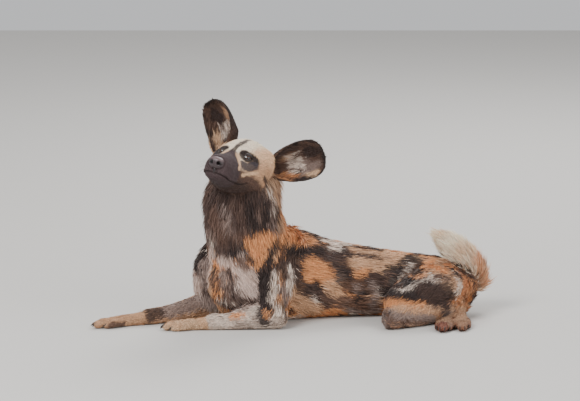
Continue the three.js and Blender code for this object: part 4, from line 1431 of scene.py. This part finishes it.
def eyeball(side):
    """An eye: a ball with a cornea that bulges, coloured by the angle from its middle."""
    def bulge(q):
        return q * (1 + 0.07 * np.exp(-(np.arccos(np.clip(q[..., :1], -1, 1)) / 0.42) ** 4))

    centre = in_head([EYE_FORWARD, side * EYE_SIDE, 0])
    axes = eye_axes(side)
    points, faces = ball(centre, EYE_RADIUS, axes, shape=bulge)
    name = "eyeball_left" if side > 0 else "eyeball_right"
    made = mesh_object(name, place(points), faces)
    rel = (points - centre) @ axes.T
    angle = np.arccos(np.clip(rel[:, 0] / np.linalg.norm(rel, axis=1), -1, 1))
    around = np.arctan2(rel[:, 2], rel[:, 1])
    rays = 0.25 * np.sin(around * 37) + 0.2 * np.sin(around * 23 + 1)
    tone = np.tile(INK["iris"], (len(points), 1)) * (1 + 0.3 * rays)[:, None]
    tone = blend(tone, INK["iris_rim"], step(angle, 0.5, 0.68))
    tone = blend(tone, INK["eye_white"], step(angle, 0.7, 0.95))
    tone = blend(tone, INK["pupil"], 1 - step(angle, 0.27, 0.33))
    colour_points(made, np.clip(tone, 0.001, 1))
    return made


def lid_rings(side, steps=96, across=22):
    """Lids: a band from an almond edge on the eye out to the face, thick at its edge.

    The inner edge is an almond curve on a ball just outside the eye, the outer edge is on the face,
    and the band between bulges like skin over the eye. Gives the rings and the way out from the eye.
    """
    axes = eye_axes(side)
    centre = in_head([EYE_FORWARD, side * EYE_SIDE, 0])
    a = 2 * np.pi * np.arange(steps) / steps
    slit, rise = np.cos(a), np.sin(a)
    almond = np.where(rise > 0, 0.46, 0.34) * np.sign(rise) * np.abs(rise) ** 1.2
    tilt = 0.12 * np.sign(side) * slit
    inner = unit(np.stack([np.sqrt(np.clip(0.9 - 0.7 * slit ** 2 - almond ** 2, 0.05, 1)), slit * 0.84,
                           almond + tilt], 1))
    outer = unit(np.stack([np.full(steps, 0.12), slit, rise * 0.98], 1))
    share = np.linspace(0, 1, across)
    height = np.interp(share, [0, 0.06, 0.12, 0.5, 1], [1.01, 1.07, 1.1, 1.14, 1.06])
    way = unit(inner[None] * (1 - share)[:, None, None] + outer[None] * share[:, None, None]) @ axes
    return centre + way * (EYE_RADIUS * height)[:, None, None], way


def eyelids(side):
    """The lids as a mesh, dark at the edge and coloured like the face further out."""
    rings_of = lid_rings(side)[0][:, ::-1]
    across, steps = rings_of.shape[:2]
    points = rings_of.reshape(-1, 3)
    i, j = np.meshgrid(np.arange(across - 1), np.arange(steps), indexing="ij")
    p = (i * steps + j).ravel()
    q = (i * steps + (j + 1) % steps).ravel()
    faces = np.concatenate([np.stack([p, q, p + steps], 1), np.stack([q, q + steps, p + steps], 1)])
    made = mesh_object("eyelids_left" if side > 0 else "eyelids_right", place(points), faces)
    ring = np.repeat(np.arange(across), steps)
    tone = blend(head_colours(points) * 0.7, INK["lid_edge"], 1 - step(ring, 2, 6))
    colour_points(made, tone)
    return made


def lid_hair(rng, count=1100):
    """Very short hair on the lids, lying away from the eye."""
    made = []
    for side, name in ((1, "left"), (-1, "right")):
        rings_of, way = lid_rings(side)
        across, steps = rings_of.shape[:2]
        i = rng.integers(4, across - 1, count)
        j = rng.integers(0, steps, count)
        f = rng.random(count)[:, None]
        p = rings_of[i, j] * (1 - f) + rings_of[i, (j + 1) % steps] * f
        n = way[i, j]
        out = unit(rings_of[-1, j] - rings_of[0, j] + 8 * np.array([-FORWARD]))
        lie = unit(out - n * np.sum(out * n, 1)[:, None])
        tone = head_colours(p)
        uv = surface_uv(p, np.full(count, HEAD))
        made.append(make_tufts(f"lid_hair_{name}", p, n, lie, rng.uniform(2.0, 3.4, count),
                               np.full(count, 0.7), np.full(count, 0.14), tone, uv, rng))
    return made


coat += lid_hair(np.random.default_rng(6))


def nose_pad():
    """The nose: a boxy ball with two comma-shaped nostrils and a groove down its middle."""
    def shape(q):
        p = np.sign(q) * np.abs(q) ** 0.9
        y, z = p[..., 1] * NOSE_RADII[1], p[..., 2] * NOSE_RADII[2]
        front = step(q[..., 0], 0.1, 0.5)
        slant = 0.25 * (np.abs(y) - 10)
        hole = np.exp(-(((np.abs(y) - 10.2) / 4.2) ** 2 + ((z + 1 - slant) / 4.6) ** 2) ** 1.5)
        slot = np.exp(-(((np.abs(y) - 15.5) / 5.0) ** 2 + ((z + 3) / 1.6) ** 2))
        groove = np.exp(-(y / 1.3) ** 2) * step(-z, -6, 2)
        push = 1 - front * (0.62 * hole + 0.28 * slot) - 0.07 * front * groove
        top = 1 + 0.05 * front * np.exp(-((z - 8) / 5) ** 2)
        return p * (push * top)[..., None]

    points, faces = ball(in_head(NOSE_AT), NOSE_RADII, HEAD_AXES, rings=110, sides=150, shape=shape)
    rel = to_head(points) - NOSE_AT
    hole = np.exp(-(((np.abs(rel[:, 1]) - 10.2) / 5.0) ** 2 + ((rel[:, 2] + 1) / 5.4) ** 2) ** 1.5)
    tone = np.tile(INK["nose"], (len(points), 1))
    # painted highlight: the top of the nose pad is lighter, as if lit from above
    tone = blend(tone, INK["nose_top_highlight"], 0.6 * step(rel[:, 2], 2, 12))
    # painted shade: the nostril hollows are made near-black
    tone = blend(tone, INK["nostril"], hole * step(rel[:, 0], 0, 5))
    lip = in_head([101, 0, -49])
    lip_points, lip_faces = ball(lip, np.array([5.0, 4.6, 10.0]), HEAD_AXES, rings=30, sides=36)
    made_points, made_faces = joined([(points, faces), (lip_points, lip_faces)])
    made = mesh_object("nose_pad", place(made_points), made_faces)
    lip_tone = np.tile(INK["lip"], (len(lip_points), 1))
    colour_points(made, np.concatenate([tone, lip_tone]))
    return made


def whiskers(rng):
    """Whiskers: long, thin, tapering hairs from the sides of the muzzle, bent by their length squared."""
    forms = []
    for side in (-1, 1):
        for row in range(WHISKER_ROWS):
            for k in range(WHISKERS_IN_ROW):
                x = 82 - 10 * k + rng.normal(0, 1.5)
                z = -38 - 7 * row + rng.normal(0, 1.0)
                y = head_side(x, z) - 1
                ahead = 0.1 - 0.3 * k + rng.normal(0, 0.1)
                way = unit([ahead, 0.9, -0.1 - 0.2 * row + rng.normal(0, 0.15)])
                length = rng.uniform(24, 40)
                line = []
                for f in np.linspace(0, 1, 6):
                    bend = np.array([-0.35, 0, -0.25]) * f * f * length
                    p = np.array([x, y, z]) + way * f * length + bend
                    half = WHISKER_HALF * (1 - 0.8 * f)
                    line.append([*in_head([p[0], side * p[1], p[2]]), half, half, half])
                forms.append(limb(np.array(line), rings=8, sides=4))
    points, faces = joined(forms)
    made = mesh_object("whiskers", place(points), faces)
    colour_points(made, np.tile(INK["whisker"], (len(points), 1)))
    return made


def claws():
    """All the claws as one piece, dark at the root and paler at the tip."""
    points, faces = joined([form for name in FOOT for form in claw_forms(name)])
    made = mesh_object("claws", place(points), faces)
    tone = np.tile(INK["claw"], (len(points), 1))
    tone = blend(tone, INK["claw_tip"], 0.5 * step(-points[:, 2], -8, -5))
    colour_points(made, tone)
    return made


# Materials: one group of nodes for streaks of hair, and the finishes that use it.
def hair_group():
    """Fine streaks over a colour: noise drawn out by its scale, lighter and darker by its strength."""
    group = bpy.data.node_groups.new("hair_streaks", "ShaderNodeTree")
    group.interface.new_socket(name="Color", in_out="INPUT", socket_type="NodeSocketColor")
    group.interface.new_socket(name="Scale", in_out="INPUT", socket_type="NodeSocketFloat")
    group.interface.new_socket(name="Strength", in_out="INPUT", socket_type="NodeSocketFloat")
    group.interface.new_socket(name="Color", in_out="OUTPUT", socket_type="NodeSocketColor")
    group.interface.new_socket(name="Height", in_out="OUTPUT", socket_type="NodeSocketFloat")
    nodes, links = group.nodes, group.links
    enter = nodes.new("NodeGroupInput")
    leave = nodes.new("NodeGroupOutput")
    where = nodes.new("ShaderNodeTexCoord")
    fine = nodes.new("ShaderNodeTexNoise")
    fine.inputs["Detail"].default_value = 4.0
    fine.inputs["Roughness"].default_value = 0.65
    fine.inputs["Distortion"].default_value = 0.6
    spread = nodes.new("ShaderNodeMapRange")
    spread.inputs["From Min"].default_value = 0.3
    spread.inputs["From Max"].default_value = 0.7
    spread.inputs["To Min"].default_value = -1.0
    spread.inputs["To Max"].default_value = 1.0
    amount = nodes.new("ShaderNodeMath")
    amount.operation = "MULTIPLY_ADD"
    amount.inputs[2].default_value = 1.0
    tint = nodes.new("ShaderNodeVectorMath")
    tint.operation = "SCALE"
    links.new(where.outputs["Object"], fine.inputs["Vector"])
    links.new(enter.outputs["Scale"], fine.inputs["Scale"])
    links.new(fine.outputs["Fac"], spread.inputs["Value"])
    links.new(spread.outputs["Result"], amount.inputs[0])
    links.new(enter.outputs["Strength"], amount.inputs[1])
    links.new(enter.outputs["Color"], tint.inputs[0])
    links.new(amount.outputs["Value"], tint.inputs["Scale"])
    links.new(tint.outputs["Vector"], leave.inputs["Color"])
    links.new(fine.outputs["Fac"], leave.inputs["Height"])
    return group


STREAKS = hair_group()


def coated_material(name, roughness, specular, scale, strength, bump, sheen=0.0, gloss=0.0):
    """A finish that takes its colour from the attribute "coat", with streaks and a fine bump."""
    made = bpy.data.materials.new(name)
    made.use_nodes = True
    nodes, links = made.node_tree.nodes, made.node_tree.links
    shader = nodes["Principled BSDF"]
    tone = nodes.new("ShaderNodeAttribute")
    tone.attribute_name = "coat"
    streaks = nodes.new("ShaderNodeGroup")
    streaks.node_tree = STREAKS
    streaks.inputs["Scale"].default_value = scale
    streaks.inputs["Strength"].default_value = strength
    raised = nodes.new("ShaderNodeBump")
    raised.inputs["Strength"].default_value = bump
    raised.inputs["Distance"].default_value = 0.001
    links.new(tone.outputs["Color"], streaks.inputs["Color"])
    links.new(streaks.outputs["Color"], shader.inputs["Base Color"])
    links.new(streaks.outputs["Height"], raised.inputs["Height"])
    links.new(raised.outputs["Normal"], shader.inputs["Normal"])
    shader.inputs["Roughness"].default_value = roughness
    shader.inputs["Specular IOR Level"].default_value = specular
    shader.inputs["Sheen Weight"].default_value = sheen
    shader.inputs["Coat Weight"].default_value = gloss
    shader.inputs["Coat Roughness"].default_value = 0.03
    return made


hide = coated_material("short_fur_and_hide", 0.85, 0.2, 420.0, 0.3, 0.8)
fur = coated_material("fur", 0.62, 0.28, 260.0, 0.16, 0.0, sheen=0.12)
nose_leather = coated_material("nose_leather", 0.36, 0.5, 900.0, 0.14, 0.45)
eye_gloss = coated_material("eye", 0.16, 0.35, 700.0, 0.05, 0.0, gloss=0.55)
lid_skin = coated_material("eyelid_skin", 0.42, 0.5, 900.0, 0.1, 0.3)
horn = coated_material("claw_horn", 0.42, 0.45, 500.0, 0.2, 0.15)


def finish_piece(made, material):
    """Gives a piece its material and its slot, and sets it on the still body."""
    made.data.materials.append(material)
    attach(made, "root")


finish_piece(skin, hide)
FLESH = ["rump", "belly", "chest", "neck", "head", "ear_left", "ear_right", "tail_root", "tail_brush"]
for side in ("left", "right"):
    FLESH += [f"upper_arm_{side}", f"forearm_{side}", f"paw_fore_{side}", f"thigh_{side}", f"shank_{side}",
              f"foot_hind_{side}"]
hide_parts(*FLESH)
for piece in coat:
    finish_piece(piece, fur)
for side, word in ((1, "left"), (-1, "right")):
    eye = eyeball(side)
    finish_piece(eye, eye_gloss)
    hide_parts(f"eye_{word}")
    finish_piece(eyelids(side), lid_skin)
pad = nose_pad()
finish_piece(pad, nose_leather)
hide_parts("nose")
finish_piece(whiskers(np.random.default_rng(9)), horn)
finish_piece(claws(), horn)


# The studio: a pale floor, a pale surround and soft lights.
FLOOR_REACH = 6.0
FLOOR_PAPER = (0.62, 0.6, 0.57, 1)
SURROUND = (0.93, 0.94, 0.96, 1)
SURROUND_STRENGTH = 0.7
LIT_PLACE = (0, 0, 0.2)
LIGHTS = {  # place and width in metres, power in watts
    "key_light": ((-2.2, -3.0, 3.6), 2.2, 225),
    "fill_light": ((2.8, -2.4, 1.8), 2.6, 60),
    "back_light": ((1.2, 3.0, 3.2), 2.0, 110),
}


def floor():
    """A flat pale sheet under the animal."""
    far = FLOOR_REACH
    made = mesh_object("floor", [[-far, -far, 0], [far, -far, 0], [far, far, 0], [-far, far, 0]],
                       np.array([0, 1, 2, 3]), per_face=4, smooth=False)
    finish = bpy.data.materials.new("floor_paper")
    finish.use_nodes = True
    shader = finish.node_tree.nodes["Principled BSDF"]
    shader.inputs["Base Color"].default_value = FLOOR_PAPER
    shader.inputs["Roughness"].default_value = 0.9
    made.data.materials.append(finish)


def soft_light(name, stand, width, power):
    """A square soft light that faces the animal."""
    data = bpy.data.lights.new(name, "AREA")
    data.energy = power
    data.size = width
    made = bpy.data.objects.new(name, data)
    made.location = stand
    made.rotation_euler = (Vector(LIT_PLACE) - Vector(stand)).to_track_quat("-Z", "Y").to_euler()
    bpy.context.scene.collection.objects.link(made)


def surround():
    """An even pale light from all sides."""
    world = bpy.data.worlds.new("surround")
    world.use_nodes = True
    background = world.node_tree.nodes["Background"]
    background.inputs["Color"].default_value = SURROUND
    background.inputs["Strength"].default_value = SURROUND_STRENGTH
    bpy.context.scene.world = world


floor()
for name, (stand, width, power) in LIGHTS.items():
    soft_light(name, stand, width, power)
surround()
